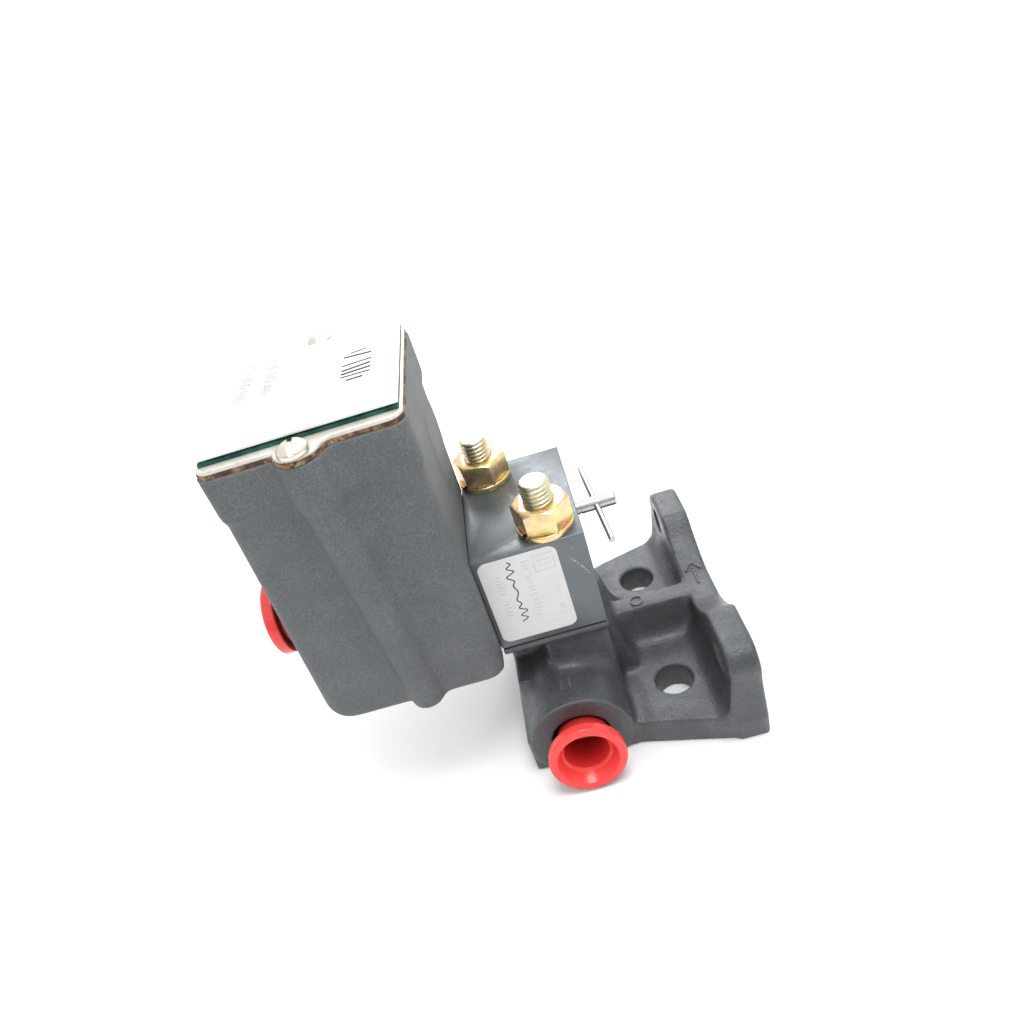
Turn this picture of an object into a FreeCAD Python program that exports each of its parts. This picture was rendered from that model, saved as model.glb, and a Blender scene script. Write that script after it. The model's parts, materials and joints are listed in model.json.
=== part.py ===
"""Pressure switch on a flanged mounting bracket.

Frame: +Z up, origin midway between the two base bolt holes, on the base's bottom face.
+X runs from the electrical housing towards the mounting flange, and the process port faces -Y.
Sizes are in millimetres.
"""

import FreeCAD, Part
import math
import os

V = FreeCAD.Vector
X_AXIS = V(1, 0, 0)
Y_AXIS = V(0, 1, 0)
Z_AXIS = V(0, 0, 1)

# ---------------------------------------------------------------- driving dimensions
# bracket casting
WEB_TOP = 11.5                # top of the machined bolt seats
WEB_CAST_TOP = 11.0           # as-cast web around the seats
BASE_HOLE_SPACING = 58.2
BASE_HOLE_R = 6.75
FLANGE_IN = 15.0
FLANGE_OUT = 25.8
FLANGE_HALF = 54.5
FLANGE_HOLE_SPACING = 81.0
FLANGE_HOLE_Z = 29.0
FLANGE_HOLE_R = 5.5
LOBE_TOP = 39.3
LOBE_R = 10.0
LOBE_FLAT_END = 43.5         # where the lobe's flat top turns into its corner arc
WAIST_TOP = 25.8
RIB_TOP = 26.0
RIB_HALF = 3.8
CAST_TOP = 46.2               # face that carries the manifold block

# manifold block
BLOCK_X0 = -55.5
BLOCK_X1 = -17.5
BLOCK_HALF_Y = 28.0
BLOCK_Z0 = 47.0
BLOCK_Z1 = 86.0

# studs, nuts and washers that clamp the block: (x, y)
STUD_AT = [(-28.6, -18.4), (-46.0, 19.8)]
STUD_R = 5.0
STUD_PITCH = 1.5
STUD_TOP = 104.2
STUD_HOLE_R = 5.4
WASHER_R = 9.7
WASHER_T = 2.2
NUT_FLATS = 17.0
NUT_H = 8.4

# process port
PORT_X = -37.5
PORT_Z = 12.5
PORT_FACE_Y = -45.0
PORT_BOSS_R = 18.2
PORT_MOUTH_R = 10.5
PORT_DEPTH = 26.0
PORT_DRILL_R = 9.1

# isolating valve, axis along X
VALVE_Z = 76.0
SEAT_X = -38.0
SPINDLE_R = 2.5
SPINDLE_END = -3.0
CROSS_PIN_X = -10.2
CROSS_PIN_R = 1.1
CROSS_PIN_HALF = 23.5
CROSS_PIN_LEAN = 3.0          # degrees, the loose pin sits out of square
GLAND_R = 6.5
GLAND_T = 5.0

# pressure capsule, axis along -X
PISTON_Z = 64.0
PISTON_R = 4.0
ROD_R = 2.0

# housing
HOUSE_Y_MID = -10.4
HOUSE_TOP = 148.0
COLLAR_BOTTOM = 133.5
HOUSE_BOTTOM = 44.4
COLLAR_X = (-113.2, -53.9)
COLLAR_HALF_Y = 33.5
BODY_TOP_X = (-112.9, -55.1)
BODY_TOP_HALF_Y = 32.4
BODY_LOW_X = (-117.6, -55.4)
BODY_LOW_HALF_Y = 28.8
BOTTOM_EDGE_R = 2.6
BOTTOM_LEFT_R = 12.5
WALL = 3.2
EAR_X = -83.4                 # screw ears at the rim
EAR_LOW_X = -82.4             # and at the housing's bottom
PAD_X = -56.0                 # machined pad that takes the block
LID_SCREW_OFFSET = 37.0       # cover screws, each side of the housing's middle

# cover stack, bottom upwards
CORK_T = 1.1
COVER_T = 1.3
BACKING_T = 1.0
STANDOFF_T = 1.0              # narrower layer between the backing and the plate
PLATE_T = 0.6
PLATE_X = (-111.9, -54.9)
PLATE_Y = (-40.5, 19.9)

# conduit entry on the housing's left wall
CONDUIT_Y = -15.0
CONDUIT_Z = 78.0
CONDUIT_R = 10.5
CONDUIT_BOSS_R = 14.0
CONDUIT_FACE_X = -119.4

# range spring and its adjuster, on the piston's axis
ROD_END_X = -64.0
SEAT_T = 2.0
SPRING_X0 = -88.0             # fixed end of the range spring
SPRING_X1 = ROD_END_X - SEAT_T
SPRING_R = 7.0
SPRING_WIRE_R = 0.9
SPRING_TURNS = 6
RANGE_SCREW_R = 3.0

# switch frame and microswitch
FRAME_T = 1.6
FRAME_X1 = -59.8              # frame's foot on the flat inside the housing's wall
FRAME_END_X = -93.0
FRAME_HALF_Y = 14.4
FOOT_Y = (-20.0, 13.2)
HOUSING_SCREWS = [(-16.0, 54.6), (10.0, 54.6), (-16.0, 76.5), (10.0, 76.5)]
SWITCH_Z0 = 82.5              # underside of the microswitch
SWITCH_T = 10.2
SWITCH_FACE_X = -68.2         # microswitch face that the button comes out of
SWITCH_BACK_X = SWITCH_FACE_X - 15.9
SWITCH_HOLE_X = SWITCH_FACE_X - 13.0
SWITCH_HOLE_Y = (-11.1, 11.1)
SWITCH_HOLE_R = 1.6
BUTTON_R = 1.5
BUTTON_Z = SWITCH_Z0 + 5.1
BUTTON_OUT = SPRING_X1 - SWITCH_FACE_X
TERMINAL_Y = (-8.5, 0.0, 8.5)
TAB_HALF_W = 2.4
TAB_Z0 = SWITCH_Z0 + 4.7
TAB_TOP_Z = SWITCH_Z0 + 5.5

# barrier strip on the housing's back wall, earth screw and leads
STRIP_Y = 9.5                 # face that the screws clamp on
STRIP_BACK_Y = 15.0
STRIP_Z = 120.0
STRIP_H = 16.0
WAY_PITCH = 10.0
WAY_X = (-94.0, -84.0, -74.0)
TERMINAL_FIX_X = (-102.6, -65.4)
GROUND_AT = (-96.0, 4.0)
WIRE_R = 0.7

# protective plugs
PLUG_FLANGE_R = 13.6
PLUG_FLANGE_T = 4.3
PORT_PLUG_LEAN = 7.5          # degrees, the port plug sits crooked
PORT_PLUG_FACE = (-37.0, -56.8, 14.2)

CLEAR = 0.05                  # radial running clearance


# ---------------------------------------------------------------- helpers
def box(x0, x1, y0, y1, z0, z1):
    """Block between two opposite corners."""
    return Part.makeBox(x1 - x0, y1 - y0, z1 - z0, V(x0, y0, z0))


def cyl(base, direction, radius, length):
    """Solid cylinder from a base point."""
    return Part.makeCylinder(radius, length, V(*base), direction)


def cone(base, direction, radius0, radius1, length):
    """Truncated cone from a base point."""
    return Part.makeCone(radius0, radius1, length, V(*base), direction)


def ring(base, direction, radius, bore, length):
    """Plain washer or tube."""
    return cyl(base, direction, radius, length).cut(cyl(base, direction, bore, length))


def prism(points, sweep):
    """Polygon through 3-D points, swept along a vector."""
    loop = Part.makePolygon([V(*p) for p in points] + [V(*points[0])])
    return Part.Face(loop).extrude(sweep)


def hexagon(centre, flats, z0, height, turn=0.0):
    """Hexagonal prism with its top corners chamfered to 30 degrees."""
    cx, cy = centre
    corner = flats / math.sqrt(3)
    points = []
    for k in range(6):
        angle = math.radians(60 * k + turn)
        points.append((cx + corner * math.cos(angle), cy + corner * math.sin(angle), z0))
    body = prism(points, V(0, 0, height))
    rise = (corner - flats / 2 + 0.3) * math.tan(math.radians(30))
    top = cone((cx, cy, z0 + height - rise), Z_AXIS, corner + 0.01, flats / 2 - 0.3, rise)
    bottom = cyl((cx, cy, z0), Z_AXIS, corner + 0.01, height - rise)
    return body.common(bottom.fuse(top))


def merge(shapes):
    """One clean solid from overlapping shapes."""
    body = shapes[0]
    if len(shapes) > 1:
        body = shapes[0].multiFuse(shapes[1:])
    return body.removeSplitter()


def carve(body, tools):
    """Cut several tools from a body."""
    for tool in tools:
        body = body.cut(tool)
    return body


def ordered(shape):
    """Biggest solid of a result that may be a compound."""
    solids = sorted(shape.Solids, key=lambda s: s.Volume)
    return solids[-1]


def save(shape, name):
    """Write one node."""
    shape.exportStep("parts/" + name + ".step")
    print(name, len(shape.Solids), round(shape.Volume, 1), shape.isValid())


def eared_outline(x0, x1, half_y, ear_r, blend, corner, z, ear_x=EAR_X):
    """Rounded rectangle with a half-round screw ear in the middle of its front and back sides.

    The ear's centre lies on the side, a small arc joins it on the left and a larger one,
    blend, joins it on the right.
    """
    quarter = math.sqrt(0.5)
    y_mid = HOUSE_Y_MID
    small = 1.5

    def foot(radius):
        """Distance along the side from the ear's centre to the blend arc's end."""
        return math.sqrt((ear_r + radius) ** 2 - radius ** 2)

    def half_side(sign):
        """Edges of one long side, from its left corner to its right corner."""
        y = y_mid + sign * half_y
        left_c = (ear_x - foot(small), y + sign * small)
        right_c = (ear_x + foot(blend), y + sign * blend)
        left_t = toward(left_c, (ear_x, y), small)
        right_t = toward(right_c, (ear_x, y), blend)
        tip = (ear_x, y + sign * ear_r)
        left_m = arc_mid(left_c, (left_c[0], y), left_t, small)
        right_m = arc_mid(right_c, (right_c[0], y), right_t, blend)
        return [
            ("line", (x0 + corner, y), (left_c[0], y)),
            ("arc", (left_c[0], y), left_m, left_t),
            ("arc", left_t, tip, right_t),
            ("arc", right_t, right_m, (right_c[0], y)),
            ("line", (right_c[0], y), (x1 - corner, y)),
        ]

    def toward(start, end, distance):
        span = math.hypot(end[0] - start[0], end[1] - start[1])
        ratio = distance / span
        return (start[0] + ratio * (end[0] - start[0]), start[1] + ratio * (end[1] - start[1]))

    def arc_mid(centre, first, second, radius):
        mx = (first[0] + second[0]) / 2 - centre[0]
        my = (first[1] + second[1]) / 2 - centre[1]
        span = math.hypot(mx, my)
        return (centre[0] + mx / span * radius, centre[1] + my / span * radius)

    y_front = y_mid - half_y
    y_back = y_mid + half_y
    bulge = corner * (1 - quarter)
    pieces = half_side(-1)
    pieces += [
        ("arc", (x1 - corner, y_front), (x1 - bulge, y_front + bulge), (x1, y_front + corner)),
        ("line", (x1, y_front + corner), (x1, y_back - corner)),
        ("arc", (x1, y_back - corner), (x1 - bulge, y_back - bulge), (x1 - corner, y_back)),
    ]
    for piece in reversed(half_side(1)):
        pieces.append((piece[0],) + tuple(reversed(piece[1:])))
    pieces += [
        ("arc", (x0 + corner, y_back), (x0 + bulge, y_back - bulge), (x0, y_back - corner)),
        ("line", (x0, y_back - corner), (x0, y_front + corner)),
        ("arc", (x0, y_front + corner), (x0 + bulge, y_front + bulge), (x0 + corner, y_front)),
    ]
    edges = []
    for piece in pieces:
        ends = [V(p[0], p[1], z) for p in piece[1:]]
        if piece[0] == "line":
            edges.append(Part.LineSegment(*ends).toShape())
        else:
            edges.append(Part.Arc(*ends).toShape())
    return Part.Wire(edges)


def plate(wire, thickness):
    """Extrude a flat wire upwards."""
    return Part.Face(wire).extrude(V(0, 0, thickness))


def profile_xz(x0, x1, z0, z1, left_r, right_r, y0, y1):
    """Slab across Y whose lower corners are rounded."""
    q = 1 - math.sqrt(0.5)
    edges = [
        Part.LineSegment(V(x0, y0, z1), V(x0, y0, z0 + left_r)).toShape(),
        Part.Arc(V(x0, y0, z0 + left_r), V(x0 + q * left_r, y0, z0 + q * left_r),
                 V(x0 + left_r, y0, z0)).toShape(),
        Part.LineSegment(V(x0 + left_r, y0, z0), V(x1 - right_r, y0, z0)).toShape(),
        Part.Arc(V(x1 - right_r, y0, z0), V(x1 - q * right_r, y0, z0 + q * right_r),
                 V(x1, y0, z0 + right_r)).toShape(),
        Part.LineSegment(V(x1, y0, z0 + right_r), V(x1, y0, z1)).toShape(),
        Part.LineSegment(V(x1, y0, z1), V(x0, y0, z1)).toShape(),
    ]
    return Part.Face(Part.Wire(edges)).extrude(V(0, y1 - y0, 0))


# ---------------------------------------------------------------- bracket casting
def flange_outline(x):
    """Half outline of the mounting flange, mirrored: two lobes and a waist."""
    half = [
        (0.0, WAIST_TOP), (8.0, WAIST_TOP), (14.0, 28.4), (21.0, 32.8), (26.5, 37.6), (28.9, LOBE_TOP),
    ]
    lobe_r = LOBE_R
    flat_end = LOBE_FLAT_END
    side = (52.4, 24.0)
    wires = []
    for sign in (-1, 1):
        pts = [V(x, sign * y, z) for y, z in half]
        edges = [Part.LineSegment(a, b).toShape() for a, b in zip(pts, pts[1:])]
        flat = V(x, sign * flat_end, LOBE_TOP)
        angle = math.radians(12)
        arc_mid = V(x, sign * (flat_end + lobe_r * math.sin(math.radians(39))),
                    LOBE_TOP - lobe_r + lobe_r * math.cos(math.radians(39)))
        arc_end = V(x, sign * (flat_end + lobe_r * math.cos(angle)),
                    LOBE_TOP - lobe_r + lobe_r * math.sin(angle))
        low = V(x, sign * FLANGE_HALF, 9.0)
        foot = V(x, sign * (FLANGE_HALF - 0.6), 0.0)
        edges.append(Part.LineSegment(pts[-1], flat).toShape())
        edges.append(Part.Arc(flat, arc_mid, arc_end).toShape())
        edges.append(Part.LineSegment(arc_end, V(x, sign * side[0], side[1])).toShape()
                     if (arc_end - V(x, sign * side[0], side[1])).Length > 0.2 else None)
        edges.append(Part.LineSegment(V(x, sign * side[0], side[1]), low).toShape())
        edges.append(Part.LineSegment(low, foot).toShape())
        wires.append([e for e in edges if e])
    bottom = Part.LineSegment(V(x, -(FLANGE_HALF - 0.6), 0.0), V(x, FLANGE_HALF - 0.6, 0.0)).toShape()
    edges = Part.sortEdges(wires[0] + wires[1] + [bottom])[0]
    return Part.Wire(edges)


def bracket_casting():
    """Iron casting: stud pad, port boss, bolting web, rib and mounting flange."""
    web_front = [(-40.0, -38.0), (-19.3, -43.8), (16.0, -53.4), (24.0, -53.9)]
    web_plan = [(x, y) for x, y in web_front] + [(x, -y) for x, y in reversed(web_front)]
    web = prism([(x, y, 0.0) for x, y in web_plan], V(0, 0, WEB_CAST_TOP))
    seats = web_strip(web_plan, -12.5, 8.0)

    flange = Part.Face(flange_outline(FLANGE_IN)).extrude(V(FLANGE_OUT - FLANGE_IN, 0, 0))
    # foot of the flange: a bank that runs out into the web
    bank = prism([(9.0, -52.0, WEB_CAST_TOP - 1), (9.0, -52.0, WEB_CAST_TOP), (11.5, -52.0, 12.2),
                  (13.6, -52.0, 14.6), (15.2, -52.0, 19.0), (17.0, -52.0, 19.0),
                  (17.0, -52.0, WEB_CAST_TOP - 1)], V(0, 104.0, 0))

    # the flange is thicker at its two ends, which closes the pocket behind each lobe
    ends = [prism([(10.8, y, 5.0), (10.8, y, WEB_CAST_TOP), (13.0, y, 14.0), (14.0, y, 20.0),
                   (15.2, y, 30.0), (17.0, y, 30.0), (17.0, y, 5.0)], V(0, 3.2, 0)) for y in (-53.0, 49.8)]

    rib = prism([(-20.0, -RIB_HALF, RIB_TOP), (-20.0, RIB_HALF, RIB_TOP), (-20.0, RIB_HALF + 2.6, 14.5),
                 (-20.0, RIB_HALF + 5.6, WEB_CAST_TOP), (-20.0, RIB_HALF + 5.6, 5.0),
                 (-20.0, -RIB_HALF - 5.6, 5.0), (-20.0, -RIB_HALF - 5.6, WEB_CAST_TOP),
                 (-20.0, -RIB_HALF - 2.6, 14.5)], V(38.0, 0, 0))

    pillar = box(BLOCK_X0 + 0.4, BLOCK_X1 - 0.2, -26.4, 26.4, 0.0, CAST_TOP - 2.4)
    lip = box(BLOCK_X0 + 0.2, BLOCK_X1, -27.8, 27.8, CAST_TOP - 2.6, CAST_TOP)
    toe = box(BLOCK_X0 - 1.2, BLOCK_X1 - 1.0, PORT_FACE_Y + 0.6, 26.4, 0.0, 16.0)
    haunch = prism([(BLOCK_X1 - 1.0, -20.0, 0.0), (BLOCK_X1 - 1.0, -20.0, 40.0), (-14.8, -20.0, 27.0),
                    (-13.0, -20.0, 18.0), (-9.5, -20.0, WEB_CAST_TOP), (-9.5, -20.0, 0.0)], V(0, 40.0, 0))

    boss = cyl((PORT_X, PORT_FACE_Y, PORT_Z), Y_AXIS, PORT_BOSS_R, 30.0)
    dome = Part.makeSphere(PORT_BOSS_R, V(PORT_X, PORT_FACE_Y + 22.0, PORT_Z))
    body = merge([pillar, lip, toe, haunch, web, seats, flange, bank, rib, boss, dome] + ends)

    # undercuts below the lip, at opposite corners, leave a pillar round each stud
    front_cut = box(BLOCK_X0 - 3.0, -41.0, -30.0, -13.0, 27.0, CAST_TOP - 2.6)
    front_cut = front_cut.cut(cyl((PORT_X, -45.0, PORT_Z), Y_AXIS, PORT_BOSS_R, 45.0))
    back_cut = box(-32.0, BLOCK_X1 + 4.0, 13.0, 30.0, 31.0, CAST_TOP - 2.6)
    below = box(-120.0, 60.0, -80.0, 80.0, -40.0, 0.0)

    cuts = [front_cut, back_cut, below]
    for side in (-1, 1):
        y = side * BASE_HOLE_SPACING / 2
        cuts.append(cyl((0, y, -1), Z_AXIS, BASE_HOLE_R, 40.0))
        cuts.append(cone((0, y, WEB_TOP - 0.8), Z_AXIS, BASE_HOLE_R, BASE_HOLE_R + 0.9, 0.9))
        flange_y = side * FLANGE_HOLE_SPACING / 2
        cuts.append(cyl((0, flange_y, FLANGE_HOLE_Z), X_AXIS, FLANGE_HOLE_R, 40.0))
    for x, y in STUD_AT:
        cuts.append(cyl((x, y, CAST_TOP - 18.0), Z_AXIS, STUD_R + CLEAR, 20.0))

    # tapered port thread, drill below it, and the feed hole up to the block
    cuts.append(cone((PORT_X, PORT_FACE_Y - 0.01, PORT_Z), Y_AXIS, PORT_MOUTH_R, PORT_MOUTH_R - 0.5, 16.0))
    cuts.append(cyl((PORT_X, PORT_FACE_Y, PORT_Z), Y_AXIS, PORT_DRILL_R, PORT_DEPTH))
    cuts.append(cyl((PORT_X, PORT_FACE_Y + PORT_DEPTH - 1, PORT_Z), Y_AXIS, 2.5, 20.5))
    cuts.append(cyl((-35.5, 0, PORT_Z), Z_AXIS, 2.0, 40.0))
    cuts.append(cyl((-35.5, 0, CAST_TOP - 1.6), Z_AXIS, 6.0, 3.0))
    cuts.append(box(PORT_X - 2.0, -33.5, -1.6, 1.6, PORT_Z - 1.6, PORT_Z + 1.6))
    return ordered(carve(body, cuts).removeSplitter())


def web_strip(plan, x0, x1):
    """Raised seat band for the base bolts, as wide as the web."""
    sheet = prism([(x, y, WEB_CAST_TOP - 0.5) for x, y in plan], V(0, 0, 0.5 + WEB_TOP - WEB_CAST_TOP))
    return sheet.common(box(x0, x1, -80.0, 80.0, 0.0, 40.0))


def passage_seal():
    """O-ring between casting and block, round the feed hole."""
    ring_r = 4.1
    cord_r = 0.95
    return Part.makeTorus(ring_r, cord_r, V(-35.5, 0, CAST_TOP - 0.6), Z_AXIS)


def block_gasket():
    """Flat gasket under the block, a little inside its edges."""
    sheet = box(BLOCK_X0 + 0.8, BLOCK_X1 - 0.8, -BLOCK_HALF_Y + 0.8, BLOCK_HALF_Y - 0.8, CAST_TOP, BLOCK_Z0)
    holes = [cyl((x, y, CAST_TOP - 1), Z_AXIS, STUD_HOLE_R, 4.0) for x, y in STUD_AT]
    holes.append(cyl((-35.5, 0, CAST_TOP - 1), Z_AXIS, 6.2, 4.0))
    return carve(sheet, holes)


# ---------------------------------------------------------------- manifold block and its hardware
def manifold_block():
    """Machined block with stud holes, valve bore and capsule bore."""
    body = box(BLOCK_X0, BLOCK_X1, -BLOCK_HALF_Y, BLOCK_HALF_Y, BLOCK_Z0, BLOCK_Z1)
    body = body.makeChamfer(0.3, body.Edges)
    cuts = [cyl((x, y, BLOCK_Z0 - 1), Z_AXIS, STUD_HOLE_R, 60.0) for x, y in STUD_AT]
    # valve bore, from the right face inwards: gland, packing, thread, chamber, orifice
    steps = [(BLOCK_X1, GLAND_R + CLEAR, 5.0), (-22.5, 5.05, 2.5), (-25.0, 3.55, 8.0),
             (-33.0, 3.2, 5.0), (SEAT_X, 1.5, 4.2)]
    for x, radius, depth in steps:
        cuts.append(cyl((x, 0, VALVE_Z), -X_AXIS, radius, depth))
    cuts.append(cyl((-35.5, 0, BLOCK_Z0 - 1), Z_AXIS, 1.5, VALVE_Z - BLOCK_Z0))
    cuts.append(cyl((-41.0, 0, PISTON_Z), Z_AXIS, 1.2, VALVE_Z - PISTON_Z))
    # capsule bore from the left face
    cuts.append(cyl((BLOCK_X0, 0, PISTON_Z), X_AXIS, PISTON_R + CLEAR, 15.5))
    cuts.append(cyl((BLOCK_X0, 0, PISTON_Z), X_AXIS, 6.05, 4.0))
    for y, z in HOUSING_SCREWS:
        cuts.append(cyl((BLOCK_X0 - 1, y, z), X_AXIS, 2.0, 11.0))
    return carve(body, cuts)


def studs():
    """Two studs with domed ends; the exposed thread has cut grooves."""
    solids = []
    foot = CAST_TOP - 17.0
    for x, y in STUD_AT:
        shank = cyl((x, y, foot), Z_AXIS, STUD_R, STUD_TOP - 1.4 - foot)
        tip = cone((x, y, STUD_TOP - 1.4), Z_AXIS, STUD_R, STUD_R - 1.3, 1.4)
        body = shank.fuse(tip)
        z = BLOCK_Z1 + WASHER_T + NUT_H - 1.0
        while z < STUD_TOP - 1.4:
            body = body.cut(groove(x, y, z))
            z += STUD_PITCH
        solids.append(body.removeSplitter())
    return Part.makeCompound(solids)


def groove(x, y, z):
    """V groove of one thread turn."""
    depth = 0.8
    half = STUD_PITCH * 0.42
    tri = [(x + STUD_R - depth, y, z), (x + STUD_R + 0.1, y, z - half), (x + STUD_R + 0.1, y, z + half)]
    loop = Part.makePolygon([V(*p) for p in tri] + [V(*tri[0])])
    return Part.Face(loop).revolve(V(x, y, z), Z_AXIS, 360)


def stud_nuts():
    """Heavy hexagon nuts."""
    solids = []
    for x, y in STUD_AT:
        body = hexagon((x, y), NUT_FLATS, BLOCK_Z1 + WASHER_T, NUT_H, turn=-10.0)
        solids.append(body.cut(cyl((x, y, BLOCK_Z1), Z_AXIS, STUD_R + CLEAR, 30.0)))
    return Part.makeCompound(solids)


def lock_washers():
    """Split spring washers."""
    solids = []
    for x, y in STUD_AT:
        body = ring((x, y, BLOCK_Z1), Z_AXIS, WASHER_R, STUD_R + 0.4, WASHER_T)
        slit = box(x - 0.5, x + 0.5, y - WASHER_R - 1, y, BLOCK_Z1 - 1, BLOCK_Z1 + 5)
        slit.rotate(V(x, y, BLOCK_Z1), V(0, 1, 0), 22)
        slit.rotate(V(x, y, BLOCK_Z1), Z_AXIS, -52)
        solids.append(body.cut(slit))
    return Part.makeCompound(solids)


def block_label():
    """Thin metal label on the block's front face."""
    x0, x1, z0, z1 = BLOCK_X0 + 1.7, BLOCK_X0 + 28.0, 49.7, 84.8
    body = box(x0, x1, -BLOCK_HALF_Y - 0.25, -BLOCK_HALF_Y, z0, z1)
    across = [e for e in body.Edges if abs(e.Vertexes[0].Y - e.Vertexes[1].Y) > 0.1]
    return body.makeFillet(3.0, across)


# ---------------------------------------------------------------- isolating valve
def spindle_gland():
    """Threaded ring that holds the packing, flush with the block."""
    body = ring((BLOCK_X1 - GLAND_T, 0, VALVE_Z), X_AXIS, GLAND_R, SPINDLE_R + 0.08, GLAND_T)
    for side in (-1, 1):
        body = body.cut(cyl((BLOCK_X1 - 2.0, side * 4.6, VALVE_Z), X_AXIS, 0.8, 3.0))
    return body


def spindle_packing():
    """Packing ring behind the gland."""
    return ring((-25.0, 0, VALVE_Z), X_AXIS, 5.0, SPINDLE_R + 0.08, 2.5)


def valve_spindle():
    """Spindle: neck, threaded collar and swivel nose, cross-drilled for the handle pin."""
    length = SPINDLE_END + 27.5
    shaft = cyl((-27.5, 0, VALVE_Z), X_AXIS, SPINDLE_R, length - 0.5)
    end = cone((SPINDLE_END - 0.5, 0, VALVE_Z), X_AXIS, SPINDLE_R, SPINDLE_R - 0.4, 0.5)
    thread = cyl((-32.5, 0, VALVE_Z), X_AXIS, 3.5, 5.0)
    nose = cyl((-34.9, 0, VALVE_Z), X_AXIS, 1.2, 3.0)
    body = merge([shaft, end, thread, nose])
    neck = ring((BLOCK_X1 + 1.2, 0, VALVE_Z), X_AXIS, SPINDLE_R + 1, SPINDLE_R - 0.3, 0.6)
    hole = cyl((CROSS_PIN_X, -5.0, VALVE_Z), Y_AXIS, CROSS_PIN_R, 10.0)
    hole.rotate(V(CROSS_PIN_X, 0, VALVE_Z), Z_AXIS, CROSS_PIN_LEAN)
    return body.cut(neck).cut(hole)


def t_handle_pin():
    """Cross pin pressed through the spindle."""
    chamfer = 0.3
    y0 = 0.6 - CROSS_PIN_HALF
    length = 2 * CROSS_PIN_HALF
    rod = cyl((CROSS_PIN_X, y0 + chamfer, VALVE_Z), Y_AXIS, CROSS_PIN_R, length - 2 * chamfer)
    near = cone((CROSS_PIN_X, y0, VALVE_Z), Y_AXIS, CROSS_PIN_R - chamfer, CROSS_PIN_R, chamfer)
    far = cone((CROSS_PIN_X, y0 + length - chamfer, VALVE_Z), Y_AXIS, CROSS_PIN_R, CROSS_PIN_R - chamfer,
               chamfer)
    body = merge([rod, near, far])
    body.rotate(V(CROSS_PIN_X, 0, VALVE_Z), Z_AXIS, CROSS_PIN_LEAN)
    return body


def valve_tip():
    """Non-turning tip that the spindle pushes on to its seat."""
    body = cyl((-36.0, 0, VALVE_Z), X_AXIS, 2.4, 3.4)
    point = cone((-40.0, 0, VALVE_Z), X_AXIS, 0.4, 2.4, 4.0)
    return merge([body, point]).cut(cyl((-35.2, 0, VALVE_Z), X_AXIS, 1.25, 5.0))


# ---------------------------------------------------------------- pressure capsule and range spring
def guide_bush():
    """Bush that guides the operating rod and stops the piston."""
    body = cyl((BLOCK_X0, 0, PISTON_Z), X_AXIS, 6.0, 4.0)
    return body.cut(cyl((BLOCK_X0 - 1, 0, PISTON_Z), X_AXIS, ROD_R + CLEAR, 6.0))


def piston():
    """Piston with a seal groove."""
    body = cyl((-50.4, 0, PISTON_Z), X_AXIS, PISTON_R, 8.2)
    return body.cut(ring((-47.2, 0, PISTON_Z), X_AXIS, PISTON_R + 1, PISTON_R - 1.2, 2.0))


def piston_seal():
    """O-ring in the piston's groove."""
    return Part.makeTorus(PISTON_R - 0.62, 0.56, V(-46.2, 0, PISTON_Z), X_AXIS)


def operating_rod():
    """Rod from the piston to the spring seat."""
    return cyl((ROD_END_X, 0, PISTON_Z), X_AXIS, ROD_R, -50.4 - ROD_END_X)


def spring_seat():
    """Disc on the rod with a tall tab that works the microswitch."""
    disc = cyl((SPRING_X1, 0, PISTON_Z), X_AXIS, 9.0, SEAT_T)
    pilot = cyl((SPRING_X1 - 3.0, 0, PISTON_Z), X_AXIS, SPRING_R - SPRING_WIRE_R - 0.3, 3.0)
    tab = box(SPRING_X1, SPRING_X1 + SEAT_T, -4.0, 4.0, PISTON_Z, SWITCH_Z0 + 8.0)
    return merge([disc, pilot, tab])


def range_spring():
    """Compression spring between the seat and its follower."""
    length = SPRING_X1 - SPRING_X0
    pitch = (length - 2 * SPRING_WIRE_R) / SPRING_TURNS
    helix = Part.makeHelix(pitch, pitch * SPRING_TURNS, SPRING_R)
    section = Part.Wire(Part.makeCircle(SPRING_WIRE_R, V(SPRING_R, 0, 0), Y_AXIS))
    coil = Part.Wire(helix.Edges).makePipeShell([section], True, True)
    coil.rotate(V(0, 0, 0), Y_AXIS, 90)
    coil.translate(V(SPRING_X0 + SPRING_WIRE_R, 0, PISTON_Z))
    return coil


def spring_follower():
    """Flanged cup that the adjusting screw pushes."""
    disc = cyl((SPRING_X0 - 2.0, 0, PISTON_Z), X_AXIS, 9.0, 2.0)
    pilot = cyl((SPRING_X0, 0, PISTON_Z), X_AXIS, SPRING_R - SPRING_WIRE_R - 0.3, 3.0)
    return merge([disc, pilot]).cut(cone((SPRING_X0 - 2.0, 0, PISTON_Z), X_AXIS, 2.0, 0.2, 2.0))


def range_screw():
    """Adjusting screw with a hexagon head and a slot."""
    shank = cyl((FRAME_END_X - 8.0, 0, PISTON_Z), X_AXIS, RANGE_SCREW_R, 8.0 + 2.7)
    point = cone((SPRING_X0 - 2.0 - 0.3, 0, PISTON_Z), X_AXIS, 1.9, 0.3, 1.6)
    head = hexagon((0, 0), 10.0, 0, 4.5, turn=30.0)
    head.rotate(V(0, 0, 0), Y_AXIS, -90)
    head.translate(V(FRAME_END_X - 8.0, 0, PISTON_Z))
    body = merge([shank, point, head])
    return body.cut(box(FRAME_END_X - 13.0, FRAME_END_X - 11.2, -0.6, 0.6, PISTON_Z - 8, PISTON_Z + 8))


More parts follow.
